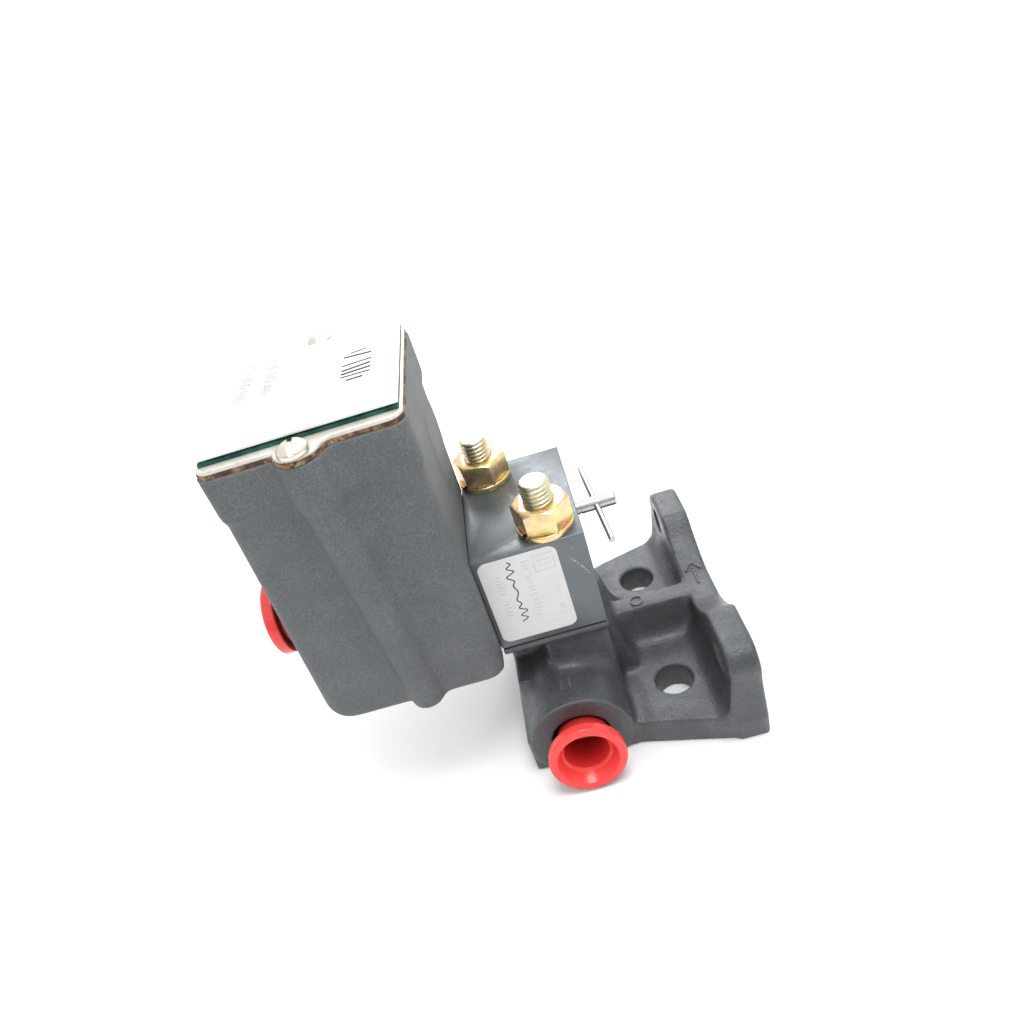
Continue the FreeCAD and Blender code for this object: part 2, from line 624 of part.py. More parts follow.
def range_locknut():
    """Jam nut on the adjusting screw."""
    body = hexagon((0, 0), 10.0, 0, 3.0, turn=30.0)
    body.rotate(V(0, 0, 0), Y_AXIS, -90)
    body.translate(V(FRAME_END_X - FRAME_T, 0, PISTON_Z))
    return body.cut(cyl((FRAME_END_X - 12, 0, PISTON_Z), X_AXIS, RANGE_SCREW_R + CLEAR, 12.0))


def switch_frame():
    """Bent steel frame: foot on the wall, shelf under the microswitch, end plate for the screw."""
    half = FRAME_HALF_Y
    top = SWITCH_Z0
    foot = box(FRAME_X1 - FRAME_T, FRAME_X1, FOOT_Y[0], FOOT_Y[1], 50.9, top)
    shelf = box(FRAME_END_X, FRAME_X1, -half, half, top - FRAME_T, top)
    end = box(FRAME_END_X - FRAME_T, FRAME_END_X, -half, half, 54.0, top)
    body = merge([foot, shelf, end])
    cuts = [cyl((FRAME_X1 - 5, 0, PISTON_Z), X_AXIS, 6.5, 10.0),
            cyl((FRAME_END_X - 5, 0, PISTON_Z), X_AXIS, RANGE_SCREW_R + CLEAR, 10.0),
            box(SPRING_X1 - 2.6, SPRING_X1 + SEAT_T + 0.6, -5.0, 5.0, top - 5.0, top + 1.0)]
    for y, z in HOUSING_SCREWS:
        cuts.append(cyl((FRAME_X1 - 5, y, z), X_AXIS, 2.2, 10.0))
    for y in SWITCH_HOLE_Y:
        cuts.append(cyl((SWITCH_HOLE_X, y, top - 5), Z_AXIS, SWITCH_HOLE_R, 10.0))
    return carve(body, cuts)


def microswitch_case():
    """Moulded case of the snap-action switch."""
    body = box(SWITCH_BACK_X, SWITCH_FACE_X, -13.9, 13.9, SWITCH_Z0, SWITCH_Z0 + SWITCH_T)
    upright = [e for e in body.Edges if abs(e.Vertexes[0].Z - e.Vertexes[1].Z) > 1]
    body = body.makeFillet(1.2, upright)
    cuts = [cyl((SWITCH_HOLE_X, y, SWITCH_Z0 - 1), Z_AXIS, SWITCH_HOLE_R, 20.0) for y in SWITCH_HOLE_Y]
    cuts.append(cyl((SWITCH_FACE_X - 5.0, 0, BUTTON_Z), X_AXIS, BUTTON_R + CLEAR, 6.0))
    for y in TERMINAL_Y:
        cuts.append(box(SWITCH_BACK_X - 1.0, SWITCH_BACK_X + 0.9, y - TAB_HALF_W, y + TAB_HALF_W,
                        TAB_Z0, TAB_TOP_Z))
    return carve(body, cuts)


def microswitch_button():
    """Button that the tab presses in."""
    return cyl((SWITCH_FACE_X - 3.0, 0, BUTTON_Z), X_AXIS, BUTTON_R, 3.0 + BUTTON_OUT)


def microswitch_terminals():
    """Three tab terminals."""
    solids = []
    for y in TERMINAL_Y:
        solids.append(box(SWITCH_FACE_X - 23.0, SWITCH_BACK_X + 0.9, y - TAB_HALF_W, y + TAB_HALF_W,
                          TAB_Z0, TAB_TOP_Z))
    return Part.makeCompound(solids)


def pan_screw(head_at, direction, shank_r, shank_len, head_r, head_h, slot_along):
    """Slotted pan-head screw: head_at is under the head, direction points along the shank."""
    x, y, z = head_at
    back = direction * -1
    shank = cyl(head_at, direction, shank_r, shank_len)
    rim = head_h * 0.55
    head = cyl(head_at, back, head_r, rim)
    crown_at = V(x, y, z) + back * rim
    crown = Part.makeCone(head_r, head_r * 0.72, head_h - rim, crown_at, back)
    body = merge([shank, head, crown])
    centre = V(x, y, z) + back * (head_h - 0.5)
    across = direction.cross(slot_along)
    u = slot_along * (head_r + 1)
    w = across * 0.6
    corners = [centre + u + w, centre - u + w, centre - u - w, centre + u - w]
    slot = Part.Face(Part.makePolygon([c - back * (head_h * 0.25) for c in corners + [corners[0]]]))
    return body.cut(slot.extrude(back * (head_h + 1)))


def microswitch_screws():
    """Two screws down through the microswitch into the shelf."""
    top = SWITCH_Z0 + SWITCH_T
    return Part.makeCompound([pan_screw((SWITCH_HOLE_X, y, top), -Z_AXIS, 1.5, SWITCH_T + 3.0, 2.8, 2.0,
                                        X_AXIS) for y in SWITCH_HOLE_Y])


# ---------------------------------------------------------------- housing
def housing_slice(z, inset):
    """Eared section of the body at a height, moved in by inset."""
    x0, x1, half, t = housing_sizes(z, inset)
    return eared_outline(x0, x1, half, 7.0 - 1.3 * t - inset / 2, 5.5 - 2.5 * t, 5.0, z,
                         EAR_X + t * (EAR_LOW_X - EAR_X))


def housing_sizes(z, inset):
    """Left side, right side, half depth and taper share of the body at a height."""
    t = (COLLAR_BOTTOM - z) / (COLLAR_BOTTOM - HOUSE_BOTTOM)
    x0 = BODY_TOP_X[0] + t * (BODY_LOW_X[0] - BODY_TOP_X[0]) + inset
    x1 = BODY_TOP_X[1] + t * (BODY_LOW_X[1] - BODY_TOP_X[1]) - inset
    half = BODY_TOP_HALF_Y + t * (BODY_LOW_HALF_Y - BODY_TOP_HALF_Y) - inset
    return x0, x1, half, t


def housing_outside():
    """Tapered eared body whose bottom edge is rounded in steps."""
    wires = []
    for degrees in (90, 60, 30, 0):
        angle = math.radians(degrees)
        z = HOUSE_BOTTOM + BOTTOM_EDGE_R * (1 - math.sin(angle))
        wires.append(housing_slice(z, BOTTOM_EDGE_R * (1 - math.cos(angle))))
    wires.append(housing_slice(COLLAR_BOTTOM + 1.2, 0.0))
    return merge([Part.makeLoft([a, b], True, True) for a, b in zip(wires, wires[1:])])


def housing_inside(z0, z1):
    """Tapered space inside the walls."""
    wires = []
    for z in (z0, z1):
        x0, x1, half, _ = housing_sizes(z, WALL)
        wires.append(plain_outline(x0, x1, half, 3.0, z))
    return Part.makeLoft(wires, True, True)


def plain_outline(x0, x1, half_y, corner, z):
    """Rounded rectangle about the housing's middle."""
    q = corner * (1 - math.sqrt(0.5))
    y0 = HOUSE_Y_MID - half_y
    y1 = HOUSE_Y_MID + half_y
    edges = []
    corners = [((x1, y0), (-1, 1)), ((x1, y1), (-1, -1)), ((x0, y1), (1, -1)), ((x0, y0), (1, 1))]
    ends = []
    for (cx, cy), (sx, sy) in corners:
        along_y = V(cx, cy + sy * corner, z)
        along_x = V(cx + sx * corner, cy, z)
        mid = V(cx + sx * q, cy + sy * q, z)
        first, last = (along_x, along_y) if sx * sy < 0 else (along_y, along_x)
        ends.append((first, mid, last))
    for k, (first, mid, last) in enumerate(ends):
        edges.append(Part.Arc(first, mid, last).toShape())
        edges.append(Part.LineSegment(last, ends[(k + 1) % 4][0]).toShape())
    return Part.Wire(edges)


def enclosure_housing():
    """Cast housing: tapered body, stepped collar, screw ears, block pad and conduit boss."""
    outer = housing_outside().common(left_rounding(0.0))
    low = eared_outline(BODY_TOP_X[0] - 0.1, BODY_TOP_X[1] + 0.1, COLLAR_HALF_Y - 1.0, 7.1, 6.0, 5.0,
                        COLLAR_BOTTOM - 1.2)
    step = eared_outline(COLLAR_X[0], COLLAR_X[1], COLLAR_HALF_Y, 7.5, 7.0, 4.5, COLLAR_BOTTOM)
    top = eared_outline(COLLAR_X[0], COLLAR_X[1], COLLAR_HALF_Y, 7.3, 4.0, 4.5, HOUSE_TOP)
    shoulder = Part.makeLoft([low, step], True, True)
    collar = Part.makeLoft([step, top], True, True)
    pad = box(PAD_X - 5.0, PAD_X, -24.0, 17.0, 50.0, 84.0)
    hub = cyl((CONDUIT_FACE_X, CONDUIT_Y, CONDUIT_Z), X_AXIS, CONDUIT_BOSS_R, 8.0)
    blind = cyl((-62.0, 1.0, 118.0), X_AXIS, 15.0, 7.4)
    body = merge([outer, shoulder, collar, pad, hub, blind])

    floor = HOUSE_BOTTOM + WALL + 0.3
    inner = housing_inside(floor, HOUSE_TOP + 1.0).common(left_rounding(WALL))
    block_room = box(PAD_X, -40.0, -BLOCK_HALF_Y - 0.8, BLOCK_HALF_Y + 0.8, HOUSE_BOTTOM - 4.0,
                     BLOCK_Z1 + 1.0)
    cuts = [block_room]
    cuts.append(cyl((-62.0, 0, PISTON_Z), X_AXIS, ROD_R + 0.3, 10.0))
    for y, z in HOUSING_SCREWS:
        cuts.append(cyl((-64.0, y, z), X_AXIS, 2.2, 12.0))
    cuts.append(cone((CONDUIT_FACE_X - 0.01, CONDUIT_Y, CONDUIT_Z), X_AXIS, CONDUIT_R, CONDUIT_R - 0.4, 12.0))
    for side in (-1, 1):
        y = HOUSE_Y_MID + side * LID_SCREW_OFFSET
        cuts.append(cyl((EAR_X, y, HOUSE_TOP - 14.0), Z_AXIS, 1.75 + CLEAR, 20.0))
    cuts.append(cyl((GROUND_AT[0], GROUND_AT[1], HOUSE_BOTTOM + 1.6), Z_AXIS, 1.75 + CLEAR, 6.0))
    hollow = body.cut(inner)
    seat = box(FRAME_X1, PAD_X - 2.0, FOOT_Y[0] - 1.0, FOOT_Y[1] + 3.0, floor - 1.0, SWITCH_Z0 + 1.0)
    bosses = [seat] + [cyl((x, STRIP_BACK_Y, STRIP_Z), Y_AXIS, 3.4, 4.0) for x in TERMINAL_FIX_X]
    body = merge([hollow] + bosses)
    for x in TERMINAL_FIX_X:
        cuts.append(cyl((x, STRIP_BACK_Y - 0.5, STRIP_Z), Y_AXIS, 1.5 + CLEAR, 5.3))
    return ordered(carve(body, cuts).removeSplitter())


def left_rounding(inset):
    """Envelope that rounds the body's lower left edge."""
    z0 = HOUSE_BOTTOM + (inset + 0.3 if inset else 0.0)
    left = BODY_LOW_X[0] - 0.1 + inset
    return profile_xz(left, BODY_LOW_X[1] + 10.0, z0, 160.0, BOTTOM_LEFT_R - inset, 1.0, -80.0, 60.0)


def housing_gasket():
    """Sheet gasket between the housing's pad and the block."""
    body = box(PAD_X, BLOCK_X0, -23.0, 17.0, 51.0, 83.0)
    cuts = [cyl((PAD_X - 1, 0, PISTON_Z), X_AXIS, 6.4, 4.0)]
    for y, z in HOUSING_SCREWS:
        cuts.append(cyl((PAD_X - 1, y, z), X_AXIS, 2.3, 4.0))
    return carve(body, cuts)


def housing_screws():
    """Four screws from inside the housing, through the frame's foot, into the block."""
    head_x = FRAME_X1 - FRAME_T
    length = BLOCK_X0 + 9.0 - head_x
    return Part.makeCompound([pan_screw((head_x, y, z), X_AXIS, 2.0 - 0.03, length, 3.7, 2.6, Z_AXIS)
                              for y, z in HOUSING_SCREWS])


# ---------------------------------------------------------------- wiring inside the housing
def terminal_block():
    """Three-way barrier strip on the back wall."""
    z0 = STRIP_Z - STRIP_H / 2
    z1 = STRIP_Z + STRIP_H / 2
    base = box(TERMINAL_FIX_X[0] - 3.4, TERMINAL_FIX_X[1] + 3.4, STRIP_Y, STRIP_BACK_Y, z0, z1)
    ribs = [box(x + side * WAY_PITCH / 2 - 0.9, x + side * WAY_PITCH / 2 + 0.9, STRIP_Y - 5.0, STRIP_Y + 1.0,
                z0, z1)
            for x in WAY_X for side in (-1, 1)]
    body = merge([base] + ribs)
    cuts = [cyl((x, STRIP_Y - 1, STRIP_Z), Y_AXIS, 1.6, 12.0) for x in TERMINAL_FIX_X]
    for x in WAY_X:
        cuts.append(cyl((x, STRIP_Y - 1, STRIP_Z), Y_AXIS, 1.3, 4.5))
    return carve(body, cuts)


def terminal_screws():
    """Wire clamping screws of the barrier strip."""
    return Part.makeCompound([pan_screw((x, STRIP_Y, STRIP_Z), Y_AXIS, 1.25, 3.0, 3.2, 2.0, Z_AXIS)
                              for x in WAY_X])


def terminal_block_screws():
    """Screws that hold the barrier strip to the housing."""
    return Part.makeCompound([pan_screw((x, STRIP_Y, STRIP_Z), Y_AXIS, 1.5, 9.8, 2.6, 2.0, X_AXIS)
                              for x in TERMINAL_FIX_X])


def ground_screw():
    """Earth screw in the housing's floor."""
    return pan_screw((GROUND_AT[0], GROUND_AT[1], HOUSE_BOTTOM + WALL + 0.3), -Z_AXIS, 1.75, 1.8, 3.6, 2.4,
                     X_AXIS)


def tube(points, radius):
    """Round wire: straight runs joined by tangent arcs as large as the runs allow."""
    pts = [V(*p) for p in points]
    edges = []
    start = pts[0]
    for before, here, after in zip(pts, pts[1:], pts[2:]):
        reach = 0.45 * min((before - here).Length, (after - here).Length)
        back = (before - here).normalize()
        on = (after - here).normalize()
        half = back.getAngle(on) / 2
        bend = reach * math.tan(half)
        first = here + back * reach
        last = here + on * reach
        axis = (back + on).normalize()
        mid = here + axis * (bend / math.sin(half) - bend)
        edges.append(Part.LineSegment(start, first).toShape())
        edges.append(Part.Arc(first, mid, last).toShape())
        start = last
    edges.append(Part.LineSegment(start, pts[-1]).toShape())
    path = Part.Wire(edges)
    direction = (pts[1] - pts[0]).normalize()
    section = Part.Wire(Part.makeCircle(radius, pts[0], direction))
    return path.makePipeShell([section], True, False)


def lead_wires():
    """Insulated leads from the microswitch tabs to the barrier strip."""
    solids = []
    tab_x = SWITCH_FACE_X - 20.5
    entry_y = (STRIP_Y + STRIP_BACK_Y) / 2
    entry_z = STRIP_Z - STRIP_H / 2
    for y, way in zip(TERMINAL_Y, reversed(WAY_X)):
        route = [(tab_x, y, TAB_TOP_Z), (tab_x, y, TAB_TOP_Z + 9.0), (way, entry_y, entry_z - 8.0),
                 (way, entry_y, entry_z)]
        wire = tube(route, WIRE_R)
        solids.append(wire)
    return Part.makeCompound(solids)


# ---------------------------------------------------------------- cover
def cover_gasket():
    """Cork gasket on the housing's rim."""
    outline = eared_outline(COLLAR_X[0] + 0.5, COLLAR_X[1] - 0.5, COLLAR_HALF_Y - 0.5, 7.2, 3.8, 4.2,
                            HOUSE_TOP)
    inner = plain_outline(COLLAR_X[0] + 4.2, COLLAR_X[1] - 4.6, COLLAR_HALF_Y - 4.4, 3.0, HOUSE_TOP - 1)
    cuts = [plate(inner, 6.0)]
    for side in (-1, 1):
        y = HOUSE_Y_MID + side * LID_SCREW_OFFSET
        cuts.append(cyl((EAR_X, y, HOUSE_TOP - 1), Z_AXIS, 2.1, 5.0))
    return carve(plate(outline, CORK_T), cuts)


def cover():
    """Pressed cover with rolled edges."""
    z0 = HOUSE_TOP + CORK_T
    roll = 0.55
    sizes = [(0.8, 6.9, z0), (0.8, 6.9, z0 + COVER_T - roll), (0.8 + 0.18, 6.72, z0 + COVER_T - 0.18),
             (0.8 + roll, 6.9 - roll, z0 + COVER_T)]
    slices = []
    for inset, ear_r, z in sizes:
        slices.append(eared_outline(COLLAR_X[0] + inset, COLLAR_X[1] - inset, COLLAR_HALF_Y - inset,
                                    ear_r, 3.6, 4.0, z))
    layers = [Part.makeLoft([a, b], True, True) for a, b in zip(slices, slices[1:])]
    body = merge(layers)
    for side in (-1, 1):
        y = HOUSE_Y_MID + side * LID_SCREW_OFFSET
        body = body.cut(cyl((EAR_X, y, z0 - 1), Z_AXIS, 2.1, 5.0))
    return body


def nameplate_backing():
    """Foam pad under the nameplate, with a narrower layer on top."""
    z0 = HOUSE_TOP + CORK_T + COVER_T
    z1 = z0 + BACKING_T
    pad = box(PLATE_X[0] + 0.6, PLATE_X[1] - 0.4, PLATE_Y[0] + 0.7, PLATE_Y[1] - 0.6, z0, z1)
    layer = box(PLATE_X[0] + 2.4, PLATE_X[1] - 2.0, PLATE_Y[0] + 2.6, PLATE_Y[1] - 2.2, z1, z1 + STANDOFF_T)
    return merge([pad, layer])


def nameplate():
    """Sheet-metal nameplate with plain corners."""
    z0 = HOUSE_TOP + CORK_T + COVER_T + BACKING_T + STANDOFF_T
    return box(PLATE_X[0], PLATE_X[1], PLATE_Y[0], PLATE_Y[1], z0, z0 + PLATE_T)


def cover_screws():
    """Two slotted screws through the cover's ears."""
    z0 = HOUSE_TOP + CORK_T + COVER_T
    solids = []
    for side in (-1, 1):
        y = HOUSE_Y_MID + side * LID_SCREW_OFFSET
        solids.append(pan_screw((EAR_X, y, z0), -Z_AXIS, 1.75, 14.0, 4.4, 3.2, Y_AXIS))
    return Part.makeCompound(solids)


# ---------------------------------------------------------------- protective plugs
def cap_plug(neck_r, tip_r, neck_len):
    """Protective plug along +Y: flange from y = 0, tapered neck, stepped mouth facing -Y."""
    wall = 1.3
    mouth_depth = PLUG_FLANGE_T + 0.4
    flange = cyl((0, 0, 0), Y_AXIS, PLUG_FLANGE_R, PLUG_FLANGE_T)
    flange = flange.makeFillet(0.9, [e for e in flange.Edges if e.Closed and len(e.Vertexes) == 1])
    neck_at = PLUG_FLANGE_T - 0.5
    neck = cone((0, neck_at, 0), Y_AXIS, neck_r + 1.2, tip_r, neck_len + 0.5)
    body = merge([flange, neck])
    mouth = cone((0, -0.01, 0), Y_AXIS, PLUG_FLANGE_R - 2.8, neck_r - 0.4, mouth_depth)
    bore = cone((0, mouth_depth - 0.1, 0), Y_AXIS, neck_r - wall, tip_r - wall,
                neck_at + neck_len - mouth_depth - 0.9)
    return body.cut(mouth).cut(bore)


def port_plug():
    """Plug in the process port, a little out of square."""
    body = cap_plug(9.2, 8.4, 16.5)
    body.rotate(V(0, 0, 0), X_AXIS, -PORT_PLUG_LEAN)
    body.translate(V(*PORT_PLUG_FACE))
    return body


def conduit_plug():
    """Plug in the conduit entry."""
    body = cap_plug(CONDUIT_R - 0.9, CONDUIT_R - 1.9, 8.5)
    body.rotate(V(0, 0, 0), Z_AXIS, -90)
    body.translate(V(CONDUIT_FACE_X - PLUG_FLANGE_T - 2.3, CONDUIT_Y, CONDUIT_Z))
    return body


NODES = {
    "bracket_casting": bracket_casting,
    "passage_seal": passage_seal,
    "block_gasket": block_gasket,
    "manifold_block": manifold_block,
    "mounting_studs": studs,
    "stud_nuts": stud_nuts,
    "lock_washers": lock_washers,
    "block_label": block_label,
    "spindle_gland": spindle_gland,
    "spindle_packing": spindle_packing,
    "valve_spindle": valve_spindle,
    "t_handle_pin": t_handle_pin,
    "valve_tip": valve_tip,
    "guide_bush": guide_bush,
    "piston": piston,
    "piston_seal": piston_seal,
    "operating_rod": operating_rod,
    "spring_seat": spring_seat,
    "range_spring": range_spring,
    "spring_follower": spring_follower,
    "range_screw": range_screw,
    "range_locknut": range_locknut,
    "switch_frame": switch_frame,
    "microswitch_case": microswitch_case,
    "microswitch_button": microswitch_button,
    "microswitch_terminals": microswitch_terminals,
    "microswitch_screws": microswitch_screws,
    "enclosure_housing": enclosure_housing,
    "housing_gasket": housing_gasket,
    "housing_screws": housing_screws,
    "terminal_block": terminal_block,
    "terminal_screws": terminal_screws,
    "terminal_block_screws": terminal_block_screws,
    "ground_screw": ground_screw,
    "lead_wires": lead_wires,
    "cover_gasket": cover_gasket,
    "cover": cover,
    "nameplate_backing": nameplate_backing,
    "nameplate": nameplate,
    "cover_screws": cover_screws,
    "port_plug": port_plug,
    "conduit_plug": conduit_plug,
}

os.makedirs("parts", exist_ok=True)
for node, make in NODES.items():
    save(make(), node)
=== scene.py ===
"""Pressure switch on a flanged bracket: looks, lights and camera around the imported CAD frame.

Everything is in metres in the row frame: +Z up, +X out of the mounting flange, -Y out of the process port.
"""

import bpy
import bmesh
import json
import math
import numpy as np
from mathutils import Matrix, Vector


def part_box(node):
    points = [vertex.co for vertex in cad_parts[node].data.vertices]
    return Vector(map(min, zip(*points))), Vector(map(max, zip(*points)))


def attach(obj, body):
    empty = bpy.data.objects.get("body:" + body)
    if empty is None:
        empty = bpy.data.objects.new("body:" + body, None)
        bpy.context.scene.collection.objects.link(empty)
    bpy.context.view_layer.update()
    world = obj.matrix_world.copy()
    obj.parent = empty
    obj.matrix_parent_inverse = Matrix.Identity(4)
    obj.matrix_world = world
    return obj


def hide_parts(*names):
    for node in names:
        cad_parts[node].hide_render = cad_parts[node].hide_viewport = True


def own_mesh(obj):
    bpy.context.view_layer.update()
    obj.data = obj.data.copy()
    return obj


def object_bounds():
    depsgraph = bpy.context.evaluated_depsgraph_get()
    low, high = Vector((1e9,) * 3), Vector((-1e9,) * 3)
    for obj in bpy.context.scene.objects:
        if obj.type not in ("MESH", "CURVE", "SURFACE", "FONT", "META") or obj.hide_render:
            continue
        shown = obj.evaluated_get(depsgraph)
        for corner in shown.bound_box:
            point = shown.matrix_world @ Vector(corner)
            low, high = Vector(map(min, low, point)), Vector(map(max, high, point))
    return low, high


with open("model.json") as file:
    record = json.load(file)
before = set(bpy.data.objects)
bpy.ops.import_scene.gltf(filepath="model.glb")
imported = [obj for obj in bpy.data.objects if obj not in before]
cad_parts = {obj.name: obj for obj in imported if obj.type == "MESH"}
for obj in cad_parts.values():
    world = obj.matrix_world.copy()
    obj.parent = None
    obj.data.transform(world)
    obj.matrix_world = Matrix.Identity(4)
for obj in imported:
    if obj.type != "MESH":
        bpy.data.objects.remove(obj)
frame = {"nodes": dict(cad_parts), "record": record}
cad_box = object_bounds()
NODES = frame["nodes"]
MM = 0.001
X_AXIS = Vector((1, 0, 0))
Z_AXIS = Vector((0, 0, 1))


# ---------------------------------------------------------------- reading the frame
def low(node):
    """Lowest corner of a CAD node."""
    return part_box(node)[0]


def high(node):
    """Highest corner of a CAD node."""
    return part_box(node)[1]


def islands(node):
    """Boxes of a node's separate solids, ordered along X: [(low corner, high corner)]."""
    mesh = bmesh.new()
    mesh.from_mesh(NODES[node].data)
    bmesh.ops.remove_doubles(mesh, verts=mesh.verts, dist=0.002 * MM)
    seen = set()
    boxes = []
    for start in mesh.verts:
        if start in seen:
            continue
        seen.add(start)
        group = [start]
        for vert in group:
            for edge in vert.link_edges:
                other = edge.other_vert(vert)
                if other not in seen:
                    seen.add(other)
                    group.append(other)
        corners = np.array([v.co for v in group])
        boxes.append((Vector(corners.min(0)), Vector(corners.max(0))))
    mesh.free()
    return sorted(boxes, key=lambda b: b[0].x)


# ---------------------------------------------------------------- shader building
class Shader:
    """One procedural material. Lengths are in millimetres in object space."""

    def __init__(self, name):
        self.material = bpy.data.materials.new(name)
        self.material.use_nodes = True
        self.tree = self.material.node_tree
        self.surface = self.tree.nodes["Principled BSDF"]
        place = self.tree.nodes.new("ShaderNodeTexCoord").outputs["Object"]
        self.place = self.add("VectorMath", {"operation": "SCALE"}, Vector=place, Scale=1 / MM).outputs[0]

    def feed(self, socket, value):
        """A socket takes a link or a constant."""
        if isinstance(value, bpy.types.NodeSocket):
            self.tree.links.new(value, socket)
        elif socket.type == "RGBA" and len(value) == 3:
            socket.default_value = (*value, 1)
        else:
            socket.default_value = value

    def add(self, kind, settings=None, **inputs):
        """New node with its settings and inputs."""
        node = self.tree.nodes.new("ShaderNode" + kind)
        for key, value in (settings or {}).items():
            setattr(node, key, value)
        for key, value in inputs.items():
            self.feed(node.inputs[key.replace("_", " ")], value)
        return node

    def scaled(self, factors):
        """Coordinates scaled by factors, for grain with a direction."""
        node = self.tree.nodes.new("ShaderNodeVectorMath")
        node.operation = "MULTIPLY"
        self.tree.links.new(self.place, node.inputs[0])
        node.inputs[1].default_value = factors
        return node.outputs[0]

    def noise(self, size, detail=3.0, rough=0.55, stretch=None):
        """Soft noise from 0 to 1, with features about size across."""
        at = self.scaled(stretch) if stretch else self.place
        return self.add("TexNoise", Vector=at, Scale=1 / size, Detail=detail, Roughness=rough).outputs[0]

    def cells(self, size):
        """Voronoi node with cells about size across."""
        return self.add("TexVoronoi", Vector=self.place, Scale=1 / size, Randomness=1.0)

    def span(self, value, start, end, low_to=0.0, high_to=1.0):
        """Value from start to end, taken to low_to and high_to, smooth and clamped."""
        node = self.add("MapRange", {"interpolation_type": "SMOOTHSTEP"}, Value=value)
        for k, number in enumerate((start, end, low_to, high_to)):
            self.feed(node.inputs[k + 1], number)
        return node.outputs[0]

    def maths(self, operation, first, second=0.0):
        """Arithmetic on two values."""
        node = self.tree.nodes.new("ShaderNodeMath")
        node.operation = operation
        self.feed(node.inputs[0], first)
        self.feed(node.inputs[1], second)
        return node.outputs[0]

    def mix(self, factor, first, second):
        """Colour between first and second."""
        node = self.tree.nodes.new("ShaderNodeMix")
        node.data_type = "RGBA"
        self.feed(node.inputs[0], factor)
        self.feed(node.inputs[6], first)
        self.feed(node.inputs[7], second)
        return node.outputs[2]

    def ramp(self, value, stops):
        """Colour ramp: stops are (position, colour)."""
        node = self.add("ValToRGB", Fac=value)
        ends = node.color_ramp.elements
        while len(ends) < len(stops):
            ends.new(0.5)
        for end, (position, colour) in zip(ends, stops):
            end.position = position
            end.color = (*colour, 1)
        return node.outputs[0]

    def bump(self, height, depth, below=None):
        """Surface relief depth high where height is 1."""
        node = self.add("Bump", Height=height, Distance=depth * MM, Strength=1.0)
        if below is not None:
            self.feed(node.inputs["Normal"], below)
        return node.outputs[0]

    def worn(self, radius):
        """1 on edges about radius wide, 0 on flats."""
        soft = self.add("Bevel", {"samples": 6}, Radius=radius * MM).outputs[0]
        flat = self.tree.nodes.new("ShaderNodeNewGeometry").outputs["True Normal"]
        dot = self.add("VectorMath", {"operation": "DOT_PRODUCT"})
        self.tree.links.new(soft, dot.inputs[0])
        self.tree.links.new(flat, dot.inputs[1])
        return self.span(dot.outputs["Value"], 0.98, 0.80)

    def rounded(self, radius):
        """Normal that rounds sharp edges."""
        return self.add("Bevel", {"samples": 6}, Radius=radius * MM).outputs[0]

    def specks(self, size, edge, core, patch, start, end):
        """1 on small dots, size apart, that gather in patches."""
        dots = self.span(self.cells(size).outputs["Distance"], edge, core)
        return self.maths("MULTIPLY", dots, self.span(self.noise(patch, 2), start, end))

    def axis(self, name):
        """One coordinate, in millimetres."""
        split = self.tree.nodes.new("ShaderNodeSeparateXYZ")
        self.tree.links.new(self.place, split.inputs[0])
        return split.outputs[name]

    def finish(self, **inputs):
        """Set the shader's own sockets."""
        for key, value in inputs.items():
            self.feed(self.surface.inputs[key.replace("_", " ")], value)
        return self.material


# ---------------------------------------------------------------- materials
def cast_iron():
    """Dark sand-cast metal; machined faces are smoother and carry tool marks."""
    s = Shader("cast_iron")
    cut = s.add("Attribute", {"attribute_name": "machined"}).outputs["Fac"]
    broad = s.noise(9.0, 4)
    grain = s.noise(0.6, 5, 0.72)
    pits = s.noise(1.5, 4, 0.65)
    edge = s.worn(1.2)
    tone = s.ramp(s.maths("ADD", s.maths("MULTIPLY", broad, 0.35), s.maths("MULTIPLY", grain, 0.65)),
                  [(0.30, (0.050, 0.055, 0.060)), (0.55, (0.090, 0.097, 0.103)),
                   (0.75, (0.155, 0.163, 0.170))])
    tone = s.mix(s.maths("MULTIPLY", edge, 0.45), tone, (0.24, 0.245, 0.25))
    tone = s.mix(s.specks(1.6, 0.13, 0.05, 4.0, 0.56, 0.66), tone, (0.42, 0.42, 0.41))
    rust = s.maths("MULTIPLY", s.span(s.cells(7.0).outputs["Distance"], 0.075, 0.03), s.span(broad, 0.5, 0.6))
    tone = s.mix(rust, tone, (0.30, 0.13, 0.035))
    milled = s.add("TexWave", {"wave_type": "BANDS", "bands_direction": "X"},
                   Vector=s.scaled((1.0, 0.25, 0.12)), Scale=0.9, Distortion=2.5, Detail=3.0,
                   Detail_Scale=1.6).outputs["Fac"]
    cut_tone = s.mix(milled, (0.080, 0.084, 0.088), (0.140, 0.145, 0.150))
    tone = s.mix(s.maths("MULTIPLY", cut, 0.75), tone, cut_tone)
    rough_cast = s.maths("ADD", s.maths("MULTIPLY", grain, 0.35), s.maths("MULTIPLY", pits, 0.65))
    relief = s.bump(rough_cast, 0.38)
    relief = s.bump(s.maths("MULTIPLY", milled, cut), 0.05, relief)
    gloss = s.span(s.noise(5.0, 3), 0.35, 0.7, 0.27, 0.40)
    return s.finish(Base_Color=tone, Roughness=s.maths("SUBTRACT", gloss, s.maths("MULTIPLY", edge, 0.12)),
                    Metallic=0.35, Normal=relief)


